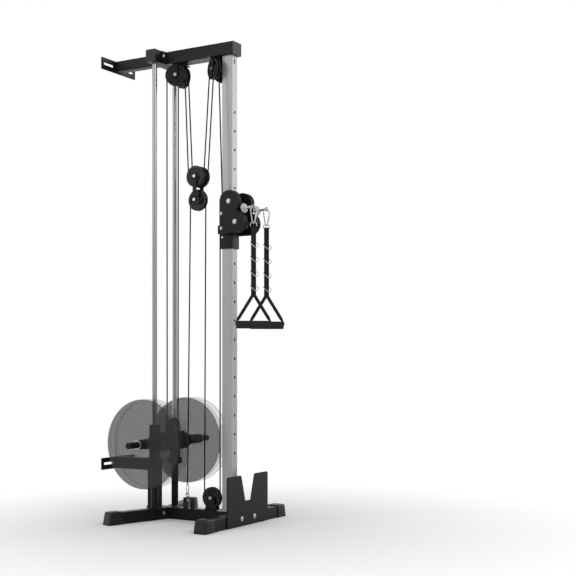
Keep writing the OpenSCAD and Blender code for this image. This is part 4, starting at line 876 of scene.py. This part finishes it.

# %% [markdown]
# ## Both handles
# The near and the far handle are the same shapes, put down left and right. The piece of cable
# between pulley and stop is a straight strand of its own, which rides on no body.

# %% Handles
EXIT_STEP = 4.97  # the strand starts this far past the pulley's tangent point
RING_R, RING_WIRE, BUCKLE_WIRE = 8, 2.5, 2
for side, s in (("near", -1), ("far", 1)):
    top = np.array((s * WING_X, UPPER[0], EXIT_Z))
    a, b = top + EXIT_STEP * PULL, top + (STOP_AT + 1) * PULL
    strand(side + "_pull_strand", a, b, (side + "_cable_end",))
    parts = [(place(lathe(stop, 64), top + STOP_AT * PULL, PULL), True, 0),
             loop(circle(RING_R, 40), np.cross(UP, CLIP_TURN), (s * WING_X, HANG_Y, RING_Z),
                  RING_WIRE)]
    piece(side + "_cable_stop", parts, [zinc], (side + "_cable_end",), side + "_end")
    piece(side + "_hook", clip((s * WING_X, HANG_Y, CLIP_Z), CLIP_TURN), [zinc],
          (side + "_carabiner",), side + "_clip")
    normal = hang(d_normal, s) - hang((0, 0, 0), s)
    rings = [(sweep(hang(d_ring + (0, 0, BUCKLE_Z - FIRST_D - NEXT_D * i), s),
                    circle(WIRE_D, 12), normal, True), True, 0) for i in range(RING_COUNT)]
    flat = np.stack([buckle[:, 0], 0 * buckle[:, 0], buckle[:, 1] + BUCKLE_Z], -1)
    rings.append((sweep(hang(flat, s), circle(BUCKLE_WIRE, 12), FACE, True), True, 0))
    piece(side + "_rings", rings, [zinc], (side + "_strap",), side + "_handle")
    strip = np.stack([0 * belt[:, 0], belt[:, 0], belt[:, 1] + BUCKLE_Z], -1)
    piece(side + "_belt", [sweep(hang(strip, s), cloth[:, ::-1], TURN),
                           sweep(hang(triangle, s), band, FACE)], [webbing],
          (side + "_strap",), side + "_handle", 60)
    grip = piece(side + "_foam", [(place(lathe(grip_profile, 64), hang((0, 0, GRIP_Z), s), TURN),
                                   True, 0)], [foam], (side + "_grip",), side + "_grip_body")
print("handles at", [tuple(np.round(hang((0, 0, GRIP_Z), s), 1)) for s in (-1, 1)])

# %% [markdown]
# ## A floor that fades to white
# The machine stands in a plain bright studio. The camera, mirrors and glass see white, while the
# object is lit by a dimmer sky. The floor keeps a soft shadow near the machine and fades to white
# further out. Stronger lamps would whiten the floor as well, but would bleach the object.

# %% White for the camera
scene = bpy.context.scene


def show_white(tree, lit, out, socket, extra=None):
    """Shows plain white to camera, mirror and glass rays where `extra` is one."""
    nodes, links = tree.nodes, tree.links
    ways = nodes.new("ShaderNodeLightPath")
    seen = ways.outputs["Is Camera Ray"]
    for name in ("Is Glossy Ray", "Is Transmission Ray"):
        most = nodes.new("ShaderNodeMath")
        most.operation = "MAXIMUM"
        links.new(seen, most.inputs[0])
        links.new(ways.outputs[name], most.inputs[1])
        seen = most.outputs[0]
    if extra is not None:
        both = nodes.new("ShaderNodeMath")
        both.operation = "MULTIPLY"
        links.new(seen, both.inputs[0])
        links.new(extra, both.inputs[1])
        seen = both.outputs[0]
    white = nodes.new("ShaderNodeBackground" if out.bl_idname == "ShaderNodeOutputWorld"
                      else "ShaderNodeEmission")
    white.inputs["Color"].default_value = (1, 1, 1, 1)
    mix = nodes.new("ShaderNodeMixShader")
    links.new(seen, mix.inputs[0])
    links.new(lit, mix.inputs[1])
    links.new(white.outputs[0], mix.inputs[2])
    links.new(mix.outputs[0], out.inputs[socket])


SKY = 0.55
world = bpy.data.worlds.new("studio")
scene.world = world
world.use_nodes = True
tree = world.node_tree
sky = tree.nodes["Background"]
sky.inputs["Color"].default_value = (1, 1, 1, 1)
sky.inputs["Strength"].default_value = SKY
show_white(tree, sky.outputs[0], tree.nodes["World Output"], "Surface")
print("sky strength on the object:", SKY)

# %% Floor
FADE_FROM, FADE_TO = 0.5, 1.8  # metres from the middle
floor_mat = bpy.data.materials.new("floor")
floor_mat.use_nodes = True
tree = floor_mat.node_tree
paint = tree.nodes["Principled BSDF"]
paint.inputs["Base Color"].default_value = (0.97, 0.97, 0.97, 1)
paint.inputs["Roughness"].default_value = 0.9
paint.inputs["Specular IOR Level"].default_value = 0.0
coords = tree.nodes.new("ShaderNodeTexCoord")
length = tree.nodes.new("ShaderNodeVectorMath")
length.operation = "LENGTH"
fade = tree.nodes.new("ShaderNodeMapRange")
fade.inputs["From Min"].default_value = FADE_FROM
fade.inputs["From Max"].default_value = FADE_TO
tree.links.new(coords.outputs["Object"], length.inputs[0])
tree.links.new(length.outputs["Value"], fade.inputs["Value"])
show_white(tree, paint.outputs[0], tree.nodes["Material Output"], "Surface",
           fade.outputs["Result"])


def board(name, corners, material):
    """Flat four-cornered stage piece."""
    mesh = bpy.data.meshes.new(name)
    mesh.from_pydata(corners, [], [(0, 1, 2, 3)])
    mesh.materials.append(material)
    obj = bpy.data.objects.new(name, mesh)
    scene.collection.objects.link(obj)
    return obj


WIDE = 60
board("floor", [(-WIDE, -WIDE, 0), (WIDE, -WIDE, 0), (WIDE, WIDE, 0), (-WIDE, WIDE, 0)],
      floor_mat)
print("floor fades from", FADE_FROM, "to", FADE_TO, "m")

# %% [markdown]
# ## Light
# Three large soft lamps light the machine from the front, the side and behind, as soft boxes do in
# a studio. A dark card behind the camera gives the round rods a dark core: only mirror rays see
# it, so it takes no light away. Bright rods without such a card look like flat strips.

# %% Card and lamps
CARD_W, CARD_H, CAMERA_TURN = 0.9, 5, np.radians(-59.6)
card = board("dark_card", [(-CARD_W, 0, 0), (CARD_W, 0, 0), (CARD_W, 0, CARD_H),
                           (-CARD_W, 0, CARD_H)], seal)
card.location = (-6.6, -4.2, 0)
card.rotation_euler = (0, 0, CAMERA_TURN)
for way in ("camera", "diffuse", "shadow", "transmission"):
    setattr(card, "visible_" + way, False)


def lamp(name, at, aim, size, power):
    """Square soft lamp at a point, looking at another."""
    data = bpy.data.lights.new(name, "AREA")
    data.size = size
    data.energy = power
    obj = bpy.data.objects.new(name, data)
    scene.collection.objects.link(obj)
    obj.location = at
    obj.rotation_euler = Vector(np.subtract(aim, at)).to_track_quat("-Z", "Y").to_euler()


lamp("key", (-2.2, -4.2, 3.6), (0, 0.2, 1.2), 2.4, 60)
lamp("side", (3.4, -1.6, 2.6), (0, 0.2, 1.2), 2.0, 30)
lamp("back", (-3.0, 2.6, 3.0), (0, 0.3, 1.2), 2.0, 20)
print("lamps:", len(bpy.data.lights))

# %% [markdown]
# ## Camera
# The camera was fitted to the photograph: level, 0.82 m above the floor, turned 59.6 degrees, with
# a 69 mm lens. It is shifted upwards instead of tilted, so that upright lines stay upright.

# %% Camera
PIXELS, HORIZON = 576, 359.37  # the photograph's side, and the row at the camera's height
LOOK = (0.8625, 0.506)  # the view's direction across the floor
cam = bpy.data.cameras.new("camera")
cam.lens = 69.28
cam.sensor_width = 36
cam.shift_y = (HORIZON - PIXELS / 2) / PIXELS
eye = bpy.data.objects.new("camera", cam)
scene.collection.objects.link(eye)
eye.location = (-4.6355, -3.0276, 0.82035)
eye.rotation_euler = (np.pi / 2, 0, -np.arctan2(*LOOK))
scene.camera = eye
scene.view_settings.view_transform = "Standard"
print(f"camera shifted by {cam.shift_y:.3f} of its width")
